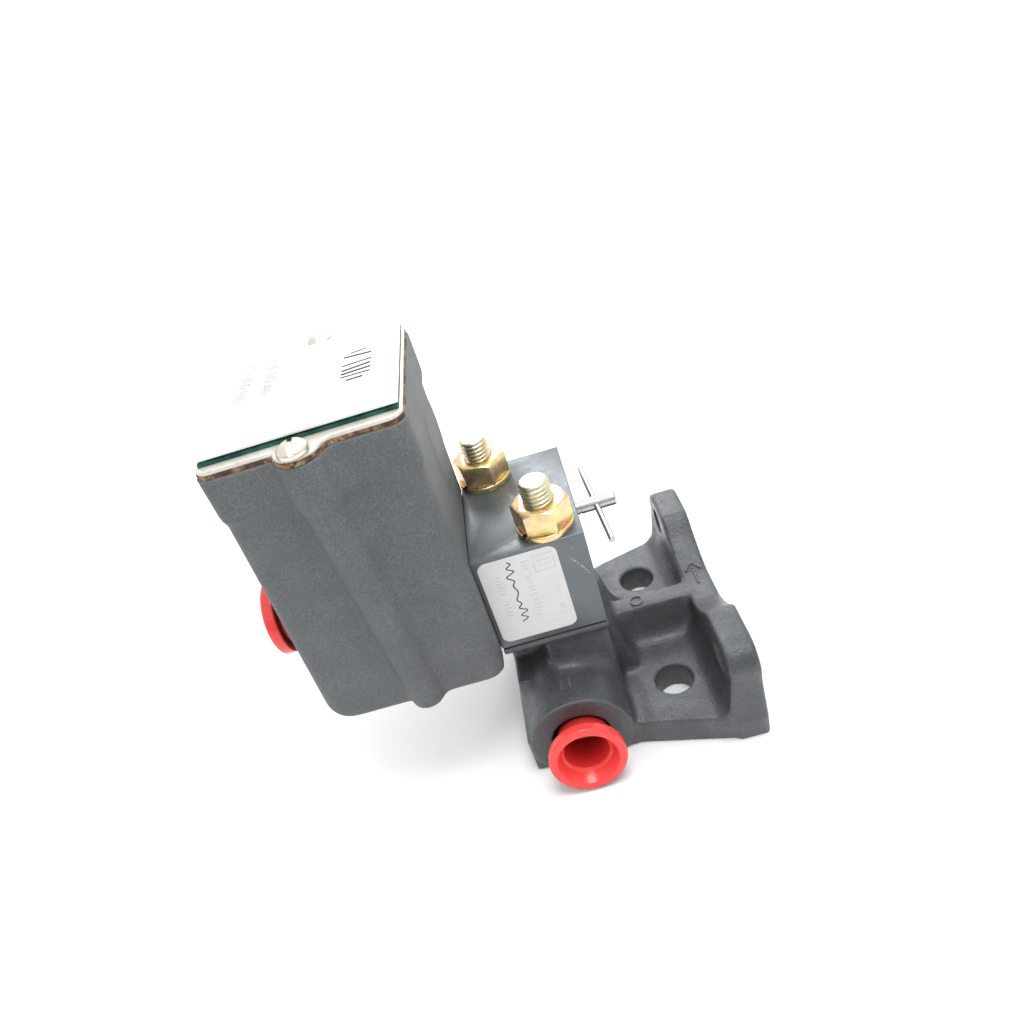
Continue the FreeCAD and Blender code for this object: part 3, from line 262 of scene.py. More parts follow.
def housing_paint():
    """Blue-green grey textured paint."""
    s = Shader("grey_paint")
    broad = s.noise(14.0, 3)
    sand = s.noise(0.62, 5, 0.75)
    edge = s.worn(1.6)
    tone = s.ramp(broad, [(0.3, (0.128, 0.142, 0.147)), (0.7, (0.162, 0.175, 0.178))])
    tone = s.mix(s.span(sand, 0.40, 0.66), s.mix(0.55, tone, (0.035, 0.040, 0.044)), tone)
    tone = s.mix(s.maths("MULTIPLY", edge, 0.32), tone, (0.26, 0.27, 0.26))
    tone = s.mix(s.specks(2.4, 0.09, 0.03, 6.0, 0.55, 0.65), tone, (0.45, 0.46, 0.42))
    tone = s.mix(s.specks(5.0, 0.07, 0.02, 9.0, 0.52, 0.6), tone, (0.02, 0.02, 0.022))
    swell = s.maths("MULTIPLY", s.noise(1.8, 2), 0.3)
    relief = s.bump(s.maths("ADD", s.maths("MULTIPLY", sand, 0.7), swell), 0.30)
    return s.finish(Base_Color=tone, Roughness=s.span(sand, 0.3, 0.7, 0.52, 0.70), Normal=relief)


def block_metal():
    """Satin blue-grey anodised block with dust and a few scuffs."""
    s = Shader("block_metal")
    broad = s.noise(11.0, 3)
    lay = s.noise(0.35, 3, 0.5, stretch=(1.0, 0.06, 1.0))
    edge = s.worn(0.5)
    tone = s.ramp(broad, [(0.3, (0.120, 0.138, 0.150)), (0.7, (0.150, 0.168, 0.180))])
    tone = s.mix(s.maths("MULTIPLY", lay, 0.25), tone, (0.15, 0.165, 0.18))
    tone = s.mix(s.maths("MULTIPLY", edge, 0.3), tone, (0.30, 0.32, 0.34))
    dust = s.specks(2.1, 0.10, 0.04, 5.0, 0.54, 0.62)
    tone = s.mix(dust, tone, (0.62, 0.63, 0.62))
    x, y, z = s.axis("X"), s.axis("Y"), s.axis("Z")
    tone = s.mix(s.maths("MULTIPLY", scratch(s, x, y, z), 0.6), tone, (0.55, 0.53, 0.48))
    gloss = s.span(s.noise(3.0, 4), 0.3, 0.7, 0.30, 0.42)
    relief = s.bump(lay, 0.012, s.rounded(0.25))
    return s.finish(Base_Color=tone, Roughness=s.maths("ADD", gloss, s.maths("MULTIPLY", dust, 0.3)),
                    Metallic=0.45, Normal=relief)


def scratch(s, x, y, z):
    """1 on a ragged diagonal scratch across the block's front face."""
    wobble = s.maths("MULTIPLY", s.maths("SUBTRACT", s.noise(2.5, 3), 0.5), 1.6)
    slant = s.maths("ADD", s.maths("MULTIPLY", x, 0.87), s.maths("MULTIPLY", z, 0.49))
    across = s.maths("ADD", slant, wobble)
    off = s.maths("ABSOLUTE", s.maths("SUBTRACT", across, 17.4))
    line = s.span(off, 0.55, 0.10)
    length = s.maths("MULTIPLY", s.span(z, 68.0, 70.5), s.span(z, 78.5, 76.0))
    patchy = s.span(s.noise(0.7, 3, 0.7), 0.42, 0.58)
    front = s.maths("LESS_THAN", y, -27.5)
    return s.maths("MULTIPLY", s.maths("MULTIPLY", line, length), s.maths("MULTIPLY", patchy, front))


def plated(name, dark, mid, bright, tints):
    """Yellow passivated zinc: gold with pink and green stains."""
    s = Shader(name)
    cloud = s.noise(3.2, 3, 0.6)
    drift = s.noise(5.5, 2, 0.5)
    tone = s.ramp(cloud, [(0.30, dark), (0.52, mid), (0.72, bright)])
    stain = s.ramp(drift, [(0.40, tints[0]), (0.52, mid), (0.64, tints[1])])
    tone = s.mix(0.45, tone, stain)
    worn = s.worn(0.35)
    tone = s.mix(s.maths("MULTIPLY", worn, 0.5), tone, (0.93, 0.88, 0.78))
    relief = s.bump(s.noise(0.25, 3), 0.012, s.rounded(0.15))
    gloss = s.span(s.noise(1.2, 3), 0.3, 0.7, 0.24, 0.38)
    return s.finish(Base_Color=tone, Metallic=1.0, Roughness=gloss, Normal=relief)


def steel(name="steel", tone=(0.48, 0.47, 0.45), gloss=(0.22, 0.34)):
    """Turned or drawn bright steel with fine lines."""
    s = Shader(name)
    lines = s.noise(0.22, 2, 0.5, stretch=(0.08, 1.0, 1.0))
    haze = s.noise(2.5, 3)
    colour = s.mix(haze, tone, tuple(min(1.0, c * 1.18) for c in tone))
    relief = s.bump(lines, 0.003, s.rounded(0.12))
    return s.finish(Base_Color=colour, Metallic=1.0, Roughness=s.span(haze, 0.3, 0.7, *gloss), Normal=relief)


def red_plastic():
    """Glossy red moulding, a little translucent, with painted shade darkening its pocket and other recesses.
    """
    s = Shader("red_plastic")
    haze = s.noise(6.0, 3)
    edge = s.worn(1.4)
    tone = s.mix(haze, (0.84, 0.050, 0.046), (0.92, 0.075, 0.066))
    tone = s.mix(s.maths("MULTIPLY", edge, 0.35), tone, (1.0, 0.17, 0.14))
    # Painted shade: an ambient-occlusion mask turns the red to a deep dark red in the pocket and other
    # enclosed recesses.
    painted_shade_ao = s.add("AmbientOcclusion", {"samples": 8}, Distance=14 * MM).outputs["AO"]
    tone = s.mix(s.span(painted_shade_ao, 0.15, 0.75), (0.22, 0.010, 0.012), tone)
    scuff = s.span(s.noise(0.8, 4, 0.7, stretch=(1.0, 1.0, 0.3)), 0.5, 0.75, 0.20, 0.34)
    relief = s.bump(s.noise(2.6, 2), 0.03)
    return s.finish(Base_Color=tone, Roughness=scuff, Normal=relief, Subsurface_Weight=0.18,
                    Subsurface_Radius=(0.004, 0.0008, 0.0006), Subsurface_Scale=1.0)


def cork():
    """Granulated cork, darker where it is pinched."""
    s = Shader("cork")
    grains = s.cells(0.9)
    cloud = s.noise(7.0, 3)
    tone = s.ramp(grains.outputs["Color"], [(0.2, (0.10, 0.055, 0.028)), (0.55, (0.26, 0.155, 0.080)),
                                             (0.85, (0.42, 0.28, 0.155))])
    tone = s.mix(s.span(cloud, 0.42, 0.62), tone, (0.075, 0.035, 0.022))
    return s.finish(Base_Color=tone, Roughness=0.85, Normal=s.bump(grains.outputs["Distance"], 0.12))


def cover_paint():
    """Cream satin metal with small marks."""
    s = Shader("cover_paint")
    haze = s.noise(8.0, 4)
    edge = s.worn(0.4)
    tone = s.ramp(haze, [(0.3, (0.66, 0.63, 0.56)), (0.7, (0.78, 0.76, 0.70))])
    grime = s.maths("MULTIPLY", s.span(s.noise(1.4, 4, 0.7), 0.56, 0.70), 0.45)
    tone = s.mix(grime, tone, (0.36, 0.33, 0.28))
    tone = s.mix(s.maths("MULTIPLY", edge, 0.35), tone, (0.88, 0.87, 0.84))
    relief = s.bump(s.noise(0.5, 3), 0.015, s.rounded(0.2))
    gloss = s.span(haze, 0.3, 0.7, 0.30, 0.44)
    return s.finish(Base_Color=tone, Metallic=0.35, Roughness=gloss, Normal=relief)


def green_foam():
    """Teal adhesive foam, with open cells."""
    s = Shader("green_foam")
    cells = s.cells(0.35)
    tone = s.ramp(s.noise(4.0, 3), [(0.35, (0.012, 0.075, 0.062)), (0.65, (0.040, 0.17, 0.14))])
    return s.finish(Base_Color=tone, Roughness=0.9, Normal=s.bump(cells.outputs["Distance"], 0.08))


def plate_white():
    """Pale printed aluminium."""
    s = Shader("plate_white")
    lay = s.noise(0.30, 2, 0.5, stretch=(0.04, 1.0, 1.0))
    haze = s.noise(9.0, 3)
    tone = s.mix(haze, (0.80, 0.80, 0.79), (0.86, 0.86, 0.85))
    tone = s.mix(s.maths("MULTIPLY", s.worn(0.25), 0.4), tone, (0.60, 0.58, 0.55))
    return s.finish(Base_Color=tone, Roughness=s.span(lay, 0.3, 0.7, 0.52, 0.60), Normal=s.bump(lay, 0.002))


def label_grey():
    """Matt silver-grey foil label."""
    s = Shader("label_grey")
    haze = s.noise(7.0, 4)
    fibre = s.noise(0.25, 4, 0.6)
    tone = s.ramp(haze, [(0.3, (0.66, 0.66, 0.655)), (0.7, (0.72, 0.72, 0.715))])
    smudge = s.maths("MULTIPLY", s.span(s.noise(2.2, 4, 0.65), 0.58, 0.72), 0.18)
    tone = s.mix(smudge, tone, (0.48, 0.48, 0.49))
    return s.finish(Base_Color=tone, Roughness=s.span(haze, 0.3, 0.7, 0.42, 0.52), Normal=s.bump(fibre, 0.01))


def ink(name, tone):
    """Printed ink with thin spots."""
    s = Shader(name)
    worn = s.span(s.noise(0.35, 4, 0.7), 0.42, 0.62)
    colour = s.mix(worn, tuple(min(1.0, c * 1.7) for c in tone), tone)
    gloss = s.span(worn, 0.0, 1.0, 0.85, 0.75)
    return s.finish(Base_Color=colour, Specular_IOR_Level=0.2, Roughness=gloss, Normal=s.bump(worn, 0.004))


def rubber(name, tone, gloss=0.65):
    """Matt rubber or fibre with fine grain."""
    s = Shader(name)
    grain = s.noise(0.4, 4, 0.6)
    colour = s.mix(grain, tone, tuple(c * 1.6 for c in tone))
    return s.finish(Base_Color=colour, Roughness=s.span(grain, 0.3, 0.7, gloss - 0.08, gloss + 0.1),
                    Normal=s.bump(grain, 0.03))


def brass():
    """Turned brass, slightly dull."""
    s = Shader("brass")
    haze = s.noise(2.2, 3)
    tone = s.mix(haze, (0.56, 0.40, 0.16), (0.74, 0.56, 0.26))
    lines = s.noise(0.2, 2, 0.5, stretch=(1.0, 1.0, 0.1))
    return s.finish(Base_Color=tone, Metallic=1.0, Roughness=s.span(haze, 0.3, 0.7, 0.28, 0.42),
                    Normal=s.bump(lines, 0.01, s.rounded(0.1)))


def black_moulding():
    """Black phenolic with a fine spark-eroded grain."""
    s = Shader("black_moulding")
    grain = s.noise(0.18, 3)
    haze = s.noise(3.0, 3)
    tone = s.mix(haze, (0.012, 0.012, 0.013), (0.030, 0.030, 0.032))
    return s.finish(Base_Color=tone, Roughness=s.span(haze, 0.3, 0.7, 0.38, 0.5),
                    Normal=s.bump(grain, 0.02, s.rounded(0.2)))


def wire_sleeve():
    """Insulated wire."""
    s = Shader("wire_sleeve")
    haze = s.noise(2.0, 3)
    tone = s.mix(haze, (0.42, 0.030, 0.024), (0.55, 0.050, 0.035))
    return s.finish(Base_Color=tone, Roughness=s.span(haze, 0.3, 0.7, 0.35, 0.46), Normal=s.bump(haze, 0.02))


MATERIALS = {
    "cast_iron": cast_iron(),
    "grey_paint": housing_paint(),
    "block_metal": block_metal(),
    "gold_plate": plated("gold_plate", (0.62, 0.42, 0.18), (0.86, 0.62, 0.30), (0.96, 0.80, 0.52),
                         ((0.92, 0.50, 0.42), (0.58, 0.66, 0.30))),
    "stud_plate": plated("stud_plate", (0.48, 0.42, 0.28), (0.70, 0.64, 0.48), (0.84, 0.80, 0.68),
                         ((0.86, 0.70, 0.50), (0.66, 0.72, 0.46))),
    "print_dark": ink("print_dark", (0.045, 0.035, 0.045)),
    "print_faint": ink("print_faint", (0.40, 0.40, 0.41)),
    "pen": ink("pen", (0.060, 0.060, 0.075)),
    "steel": steel(),
    "screw_steel": steel("screw_steel", (0.66, 0.62, 0.55), (0.30, 0.44)),
    "spring_steel": steel("spring_steel", (0.26, 0.26, 0.27), (0.30, 0.42)),
    "red_plastic": red_plastic(),
    "cork": cork(),
    "cover_paint": cover_paint(),
    "green_foam": green_foam(),
    "plate_white": plate_white(),
    "label_grey": label_grey(),
    "gasket_dark": rubber("gasket_dark", (0.012, 0.013, 0.015)),
    "seal_rubber": rubber("seal_rubber", (0.010, 0.010, 0.011), 0.5),
    "brass": brass(),
    "black_moulding": black_moulding(),
    "wire_sleeve": wire_sleeve(),
}
SLOT = {part["node"]: part["material_slot"] for part in frame["record"]["subparts"]}


def dress(obj, material):
    """Give an object one material."""
    obj.data.materials.clear()
    obj.data.materials.append(material)


for node, obj in NODES.items():
    dress(obj, MATERIALS[SLOT[node]])


# ---------------------------------------------------------------- mesh helpers
def new_piece(name, mesh, slot_name, body, smooth_angle=30, look=None):
    """Object from a bmesh, dressed, smoothed by angle and riding on a body."""
    data = bpy.data.meshes.new(name)
    mesh.to_mesh(data)
    mesh.free()
    obj = bpy.data.objects.new(name, data)
    bpy.context.scene.collection.objects.link(obj)
    dress(obj, MATERIALS[look or slot_name])
    shade(obj, smooth_angle)
    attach(obj, body)
    return obj


def shade(obj, angle):
    """Smooth shading with edges sharper than angle kept."""
    data = obj.data
    data.polygons.foreach_set("use_smooth", [True] * len(data.polygons))
    data.set_sharp_from_angle(angle=math.radians(angle))


def applied(obj):
    """Replace an object's mesh with its evaluated one and drop its modifiers."""
    bpy.context.view_layer.update()
    evaluated = obj.evaluated_get(bpy.context.evaluated_depsgraph_get())
    data = bpy.data.meshes.new_from_object(evaluated)
    obj.modifiers.clear()
    obj.data = data


def relaxed(co, edges, passes, frozen, fill_only=None, normals=None):
    """Vertices moved towards their neighbours, except the frozen coordinates."""
    a, b = edges[:, 0], edges[:, 1]
    count = len(co)
    degree = np.bincount(a, minlength=count) + np.bincount(b, minlength=count)
    free = ~frozen
    for _ in range(passes):
        sums = [np.bincount(a, co[b, k], count) + np.bincount(b, co[a, k], count) for k in range(3)]
        total = np.stack(sums, 1)
        step = (total / degree[:, None] - co) * 0.5
        if fill_only is not None:
            outward = (step * normals).sum(1) > 0
            step *= (outward & fill_only)[:, None]
        co = co + step * free
    return co


FILL_ROUNDS = 4                         # normals are taken afresh in each
SKIN_FACES = 190000                     # a skin with more is thinned to this


def cast_skin(node, name, body, voxel, round_passes, fill_passes, is_machined, fills):
    """Cast look for a CAD node: even grid, worn edges and filled inner corners; machined faces stay sharp."""
    obj = bpy.data.objects.new(name, NODES[node].data.copy())
    bpy.context.scene.collection.objects.link(obj)
    weld = obj.modifiers.new("weld", "WELD")
    weld.merge_threshold = 0.002 * MM
    grid = obj.modifiers.new("grid", "REMESH")
    grid.mode = "VOXEL"
    grid.voxel_size = voxel * MM
    applied(obj)
    data = obj.data
    count = len(data.vertices)
    co = np.empty(count * 3)
    data.vertices.foreach_get("co", co)
    co = co.reshape(-1, 3)
    edges = np.empty(len(data.edges) * 2, dtype=int)
    data.edges.foreach_get("vertices", edges)
    edges = edges.reshape(-1, 2)
    frozen = is_machined(co / MM)
    co = relaxed(co, edges, round_passes, frozen)
    for _ in range(FILL_ROUNDS):
        data.vertices.foreach_set("co", co.ravel())
        data.update()
        normals = np.empty(count * 3)
        data.vertices.foreach_get("normal", normals)
        co = relaxed(co, edges, fill_passes // FILL_ROUNDS, frozen, fills(co / MM), normals.reshape(-1, 3))
    co = relaxed(co, edges, 4, frozen)
    data.vertices.foreach_set("co", co.ravel())
    mark = data.attributes.new("machined", "FLOAT", "POINT")
    mark.data.foreach_set("value", frozen.any(1).astype(np.float32))
    data.update()
    faces = len(data.polygons) * 2
    if faces > SKIN_FACES:
        thin = obj.modifiers.new("thin", "DECIMATE")
        thin.ratio = SKIN_FACES / faces
        applied(obj)
    dress(obj, MATERIALS[SLOT[node]])
    obj.data.polygons.foreach_set("use_smooth", [True] * len(obj.data.polygons))
    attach(obj, body)
    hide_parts(node)
    return obj


# ---------------------------------------------------------------- cast bodies
CAST_HIGH = high("bracket_casting") / MM
BLOCK_LOW, BLOCK_HIGH = low("manifold_block") / MM, high("manifold_block") / MM
NEAR = 0.35                             # a point this close to a machined face lies on it
PAD_DEPTH = 2.4                         # the block's pad, down from the casting's top
PORT_FACE_Y, PORT_FACE_X = -44.6, -18.5
BASE_HOLES_Y, BASE_HOLE_EDGE = (-29.1, 29.1), 7.9
FLANGE_HOLES_Y, FLANGE_HOLES_Z, FLANGE_HOLE_EDGE = (-40.5, 40.5), 29.0, 5.9


def casting_machined(co):
    """Coordinates held at machined faces: base, flange face, port face, holes and the pad."""
    x, y, z = co.T
    held = (z > CAST_HIGH.z - PAD_DEPTH) | ((y < PORT_FACE_Y) & (x < PORT_FACE_X))
    for hole_y in BASE_HOLES_Y:
        held |= np.hypot(x, y - hole_y) < BASE_HOLE_EDGE
    for hole_y in FLANGE_HOLES_Y:
        held |= (np.hypot(y - hole_y, z - FLANGE_HOLES_Z) < FLANGE_HOLE_EDGE) & (x > 10)
    return np.stack([held | (x > CAST_HIGH.x - NEAR), held, held | (z < NEAR)], 1)


def casting_fills(co):
    """Where inner corners are filled: the bays beside the rib and round the port boss."""
    x, y, z = co.T
    return (z > 1.5) & (x < 24.0)


cast_skin("bracket_casting", "casting_skin", "base", voxel=0.55,
          round_passes=12, fill_passes=80,
          is_machined=casting_machined, fills=casting_fills)


def housing_machined(co):
    """Which points of the housing were machined: the rim and the pad on the block."""
    x, y, z = co.T
    rim = z > high("enclosure_housing").z / MM - NEAR
    pad = (x > BLOCK_LOW.x - 0.9) & (z < 90)
    return np.stack([rim | pad] * 3, 1)


def housing_fills(co):
    """Inner corners beside the ears and under the collar."""
    x, y, z = co.T
    return x < 0


cast_skin("enclosure_housing", "housing_skin", "base", voxel=0.6,
          round_passes=10, fill_passes=24,
          is_machined=housing_machined, fills=housing_fills)


# ---------------------------------------------------------------- turned and threaded pieces
PLUG_RIM = 13.58
PLUG_THICK = 4.28
PORT_PLUG_LEAN = 7.5                    # degrees
PORT_PLUG_FACE = (-37.0, -56.8, 14.2)
CONDUIT_PLUG_FACE = (-126.0, -15.0, 78.0)


def rounded_path(points, radii, steps=5):
    """Polyline whose corners are arcs of the given radii."""
    path = [Vector(points[0])]
    for before, here, after, radius in zip(points, points[1:], points[2:], radii):
        before, here, after = Vector(before), Vector(here), Vector(after)
        if not radius:
            path.append(here)
            continue
        back = (before - here).normalized()
        on = (after - here).normalized()
        half = back.angle(on) / 2
        reach = min(radius / math.tan(half), 0.49 * (before - here).length, 0.49 * (after - here).length)
        for k in range(steps + 1):
            t = k / steps
            path.append((here + back * reach).lerp(here, t).lerp(here.lerp(here + on * reach, t), t))
    path.append(Vector(points[-1]))
    return path


def lathe(mesh, profile, at, axis, steps=128, closed=False):
    """Add a turned body: profile is (radius, height) in millimetres, about axis from at."""
    turn = axis.to_track_quat("Z", "Y").to_matrix()
    rings = []
    for radius, height in profile:
        if radius < 1e-6:
            rings.append([mesh.verts.new((turn @ Vector((0, 0, height)) + at) * MM)])
            continue
        ring = []
        for k in range(steps):
            angle = 2 * math.pi * k / steps
            spot = Vector((radius * math.cos(angle), radius * math.sin(angle), height))
            ring.append(mesh.verts.new((turn @ spot + at) * MM))
        rings.append(ring)
    pairs = list(zip(rings, rings[1:]))
    if closed:
        pairs.append((rings[-1], rings[0]))
    for first, second in pairs:
        for k in range(steps):
            corners = [first[k % len(first)], first[(k + 1) % len(first)],
                       second[(k + 1) % len(second)], second[k % len(second)]]
            corners = list(dict.fromkeys(corners))
            if len(corners) > 2:
                mesh.faces.new(corners)


def sleeve(mesh, rings):
    """Skin through closed rings of equal count, closed at both ends."""
    count = len(rings[0])
    for first, second in zip(rings, rings[1:]):
        for k in range(count):
            after = (k + 1) % count
            mesh.faces.new([first[k], first[after], second[after], second[k]])
    mesh.faces.new(list(reversed(rings[0])))
    mesh.faces.new(rings[-1])


def thread_rows(start, end, pitch, major, depth, envelope):
    """(height, radius as a function of angle) rows of a single-start thread under an envelope."""
    count = max(4, int((end - start) / pitch * 12))
    rows = []
    for k in range(count + 1):
        height = start + (end - start) * k / count

        def radius(angle, height=height):
            phase = (height / pitch - angle / (2 * math.pi)) % 1.0
            wave = abs(2 * phase - 1)
            crest = min(1.0, max(0.0, (wave - 0.10) / 0.72))
            return min(major - depth * (1 - crest), envelope(height))
        rows.append((height, radius))
    return rows


def threaded(mesh, rows, at, axis):
    """Skin through thread rows, closed at both ends."""
    turn = axis.to_track_quat("Z", "Y").to_matrix()
    rings = []
    for height, radius in rows:
        ring = []
        for k in range(THREAD_STEPS):
            angle = 2 * math.pi * k / THREAD_STEPS
            r = radius(angle)
            spot = Vector((r * math.cos(angle), r * math.sin(angle), height))
            ring.append(mesh.verts.new((turn @ spot + at) * MM))
        rings.append(ring)
    sleeve(mesh, rings)


STUD_PITCH = 1.5
STUD_DOME = 1.7                         # height of the rounded end
STUD_NARROWED = 0.95                    # how much smaller its radius gets
THREAD_STEPS = 72


def studs():
    """Threaded studs with a chamfered, slightly domed end."""
    mesh = bmesh.new()
    for box_low, box_high in islands("mounting_studs"):
        centre = (box_low + box_high) / 2 / MM
        major = (box_high.x - box_low.x) / 2 / MM
        top = box_high.z / MM
        bottom = box_low.z / MM

        def envelope(height):
            drop = top - height
            if drop > STUD_DOME:
                return major
            arc = math.sqrt(max(0.0, 1 - (1 - drop / STUD_DOME) ** 2))
            return major - STUD_NARROWED + STUD_NARROWED * arc
        rows = [(bottom, lambda a: major - 1.6), (bottom + 1.2, lambda a: major - 0.4),
                (BLOCK_HIGH.z, lambda a: major - 0.4)]
        rows += thread_rows(BLOCK_HIGH.z + 0.5, top - 0.02, STUD_PITCH, major, 0.85, envelope)
        rows += [(top, lambda a: major - 1.3), (top, lambda a: major - 2.6)]
        threaded(mesh, rows, Vector((centre.x, centre.y, 0)), Z_AXIS)
    piece = new_piece("stud_threads", mesh, "gold_plate", "base", 40, "stud_plate")
    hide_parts("mounting_studs")


def lock_washers():
    """Split washers: a rounded square section swept nearly once round, with its ends sprung apart."""
    mesh = bmesh.new()
    gap_at = math.radians(215)
    half_gap = math.radians(5)
    sweep = math.radians(350)
    sprung = 0.28                       # height of one end over the other
    for box_low, box_high in islands("lock_washers"):
        centre = (box_low + box_high) / 2 / MM
        outer = (box_high.x - box_low.x) / 2 / MM - 0.02
        inner = stud_radius() + 0.35
        base = box_low.z / MM
        thick = (box_high.z - box_low.z) / MM
        loop = rounded_path([(inner, thick / 2), (inner, thick), (outer, thick), (outer, 0.0), (inner, 0.0),
                             (inner, thick / 2)], [0.3, 0.5, 0.5, 0.3], 3)[:-1]
        rings = []
        turns = 110
        for k in range(turns + 1):
            share = k / turns
            angle = gap_at + half_gap + share * sweep
            slope = sprung * (share - 0.5)
            ring = []
            for radius, height in loop:
                tall = min(max(height + slope, 0.0), thick)
                skew = angle + half_gap * (height / thick - 0.5) * (1 if k in (0, turns) else 0)
                ring.append(mesh.verts.new(Vector((centre.x + radius * math.cos(skew),
                                                   centre.y + radius * math.sin(skew), base + tall)) * MM))
            rings.append(ring)
        sleeve(mesh, rings)
    bmesh.ops.recalc_face_normals(mesh, faces=mesh.faces)
    piece = new_piece("lock_washer_rings", mesh, "gold_plate", "base", 35)
    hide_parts("lock_washers")


def stud_radius():
    """Radius of the studs, in millimetres."""
    box_low, box_high = islands("mounting_studs")[0]
    return (box_high.x - box_low.x) / 2 / MM


def bevelled(node, name, body, width):
    """CAD shape with its sharp edges rounded in the mesh."""
    obj = bpy.data.objects.new(name, NODES[node].data.copy())
    bpy.context.scene.collection.objects.link(obj)
    mesh = bmesh.new()
    mesh.from_mesh(obj.data)
    bmesh.ops.remove_doubles(mesh, verts=mesh.verts, dist=0.002 * MM)
    bmesh.ops.dissolve_limit(mesh, angle_limit=math.radians(0.4), verts=mesh.verts, edges=mesh.edges)
    mesh.to_mesh(obj.data)
    mesh.free()
    edge = obj.modifiers.new("edge", "BEVEL")
    edge.width = width * MM
    edge.segments = 2
    edge.limit_method = "ANGLE"
    edge.angle_limit = math.radians(32)
    edge.harden_normals = False
    applied(obj)
    dress(obj, MATERIALS[SLOT[node]])
    shade(obj, 30)
    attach(obj, body)
    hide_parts(node)
    return obj


def cover_screws():
    """Slotted screws with a low dome and a wide slot."""
    mesh = bmesh.new()
    slots = []
    for box_low, box_high in islands("cover_screws"):
        centre = (box_low + box_high) / 2 / MM
        radius = (box_high.x - box_low.x) / 2 / MM
        top = box_high.z / MM
        seat = high("cover").z / MM
        tall = top - seat
        shank = 1.7                     # radius
        tip = box_low.z / MM
        corners = [(0, tip), (shank, tip), (shank, seat), (radius - 0.25, seat), (radius, seat + 0.35),
                   (radius, seat + 0.5 * tall), (radius * 0.62, top - 0.12), (0, top)]
        profile = rounded_path(corners, [0.3, 0.1, 0.1, 0.2, 0.9, 1.6], 5)
        lathe(mesh, profile, Vector((centre.x, centre.y, 0)), Z_AXIS, 72)
        slots.append((Vector((centre.x, centre.y, top + 0.4)), radius, tall))
    bmesh.ops.recalc_face_normals(mesh, faces=mesh.faces)
    piece = new_piece("cover_screw_heads", mesh, "steel", "lid", 30, "screw_steel")
    cutter = bmesh.new()
    for at, radius, tall in slots:
        turn = Matrix.Rotation(math.radians(6), 4, "Z")
        size = Matrix.Diagonal((1.5, 2.6 * radius, 1.5 * tall * 0.9, 1))
        bmesh.ops.create_cube(cutter, size=MM, matrix=Matrix.Translation(at * MM) @ turn @ size)
    carve_with(piece, cutter)
    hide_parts("cover_screws")


def carve_with(piece, cutter):
    """Cut a bmesh out of a piece."""
    data = bpy.data.meshes.new("cutter")
    cutter.to_mesh(data)
    cutter.free()
    tool = bpy.data.objects.new("cutter", data)
    bpy.context.scene.collection.objects.link(tool)
    cut = piece.modifiers.new("cut", "BOOLEAN")
    cut.operation = "DIFFERENCE"
    cut.solver = "EXACT"
    cut.object = tool
    applied(piece)
    bpy.data.objects.remove(tool)
    shade(piece, 30)


def plug(node, name, body, face, axis, neck, tip, length):
    """Moulded protective plug: rolled rim, stepped pocket and a tapered plain nose.

    face is the middle of its mouth and axis points out of it; sizes are in millimetres.
    """
    rim = PLUG_RIM
    thick = PLUG_THICK
    outline = [(0, -length), (tip, -length), (neck + 1.1, -thick), (rim - 0.12, -thick + 0.05), (rim, -0.6),
               (rim - 0.7, 0.0), (rim - 2.8, 0.0), (neck - 0.3, -thick + 0.2), (neck - 1.3, -thick - 0.6),
               (tip - 1.3, 1.4 - length), (0, 1.4 - length)]
    radii = [0.8, 0.5, 0.9, 1.1, 0.5, 0.9, 0.5, 0.6, 1.4]
    path = rounded_path(outline, radii, 6)
    mesh = bmesh.new()
    lathe(mesh, path, Vector(face), axis, 160)
    bmesh.ops.recalc_face_normals(mesh, faces=mesh.faces)
    piece = new_piece(name, mesh, "red_plastic", body, 60)
    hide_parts(node)


def range_spring():
    """Coil spring of round wire, wound at an even pitch along the CAD spring's length."""
    box_low, box_high = low("range_spring") / MM, high("range_spring") / MM
    wire = 0.9
    radius = (box_high.z - box_low.z) / 2 - wire
    centre_z = (box_high.z + box_low.z) / 2
    start, end = box_low.x + wire, box_high.x - wire
    turns, steps, around = 6.0, 48, 12
    mesh = bmesh.new()
    rings = []
    total = int(turns * steps)
    for k in range(total + 1):
        angle = 2 * math.pi * k / steps
        x = start + (end - start) * (k / total)
        out = Vector((0, math.cos(angle), math.sin(angle)))
        ring = []
        for j in range(around):
            turn = 2 * math.pi * j / around
            spot = Vector((x, 0, centre_z)) + out * (radius + wire * math.cos(turn))
            spot += X_AXIS * wire * math.sin(turn)
            ring.append(mesh.verts.new(spot * MM))
        rings.append(ring)
    sleeve(mesh, rings)
    bmesh.ops.recalc_face_normals(mesh, faces=mesh.faces)
    piece = new_piece("range_spring_coil", mesh, "spring_steel", "base", 60)
    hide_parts("range_spring")
    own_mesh(piece)


studs()
lock_washers()
bevelled("stud_nuts", "stud_nut_hexes", "base", 0.22)
bevelled("manifold_block", "manifold_body", "base", 0.25)
bevelled("cover", "cover_sheet", "lid", 0.12)
cover_screws()
lean = math.radians(PORT_PLUG_LEAN)
port_axis = Vector((0, -math.cos(lean), math.sin(lean)))
plug("port_plug", "port_plug_moulding", "port_cap", PORT_PLUG_FACE, port_axis,
     neck=9.2, tip=8.4, length=20.2)
plug("conduit_plug", "conduit_plug_moulding", "conduit_cap", CONDUIT_PLUG_FACE, -X_AXIS,
     neck=9.6, tip=8.6, length=12.2)
range_spring()


# ---------------------------------------------------------------- print and cast marks
def bar(mesh, middle, size, turn=0.0, axis="Z"):
    """Small closed block: middle and size in millimetres, turned in degrees about an axis."""
    matrix = Matrix.Translation(Vector(middle) * MM) @ Matrix.Rotation(math.radians(turn), 4, axis)
    bmesh.ops.create_cube(mesh, size=MM, matrix=matrix @ Matrix.Diagonal((*size, 1)))


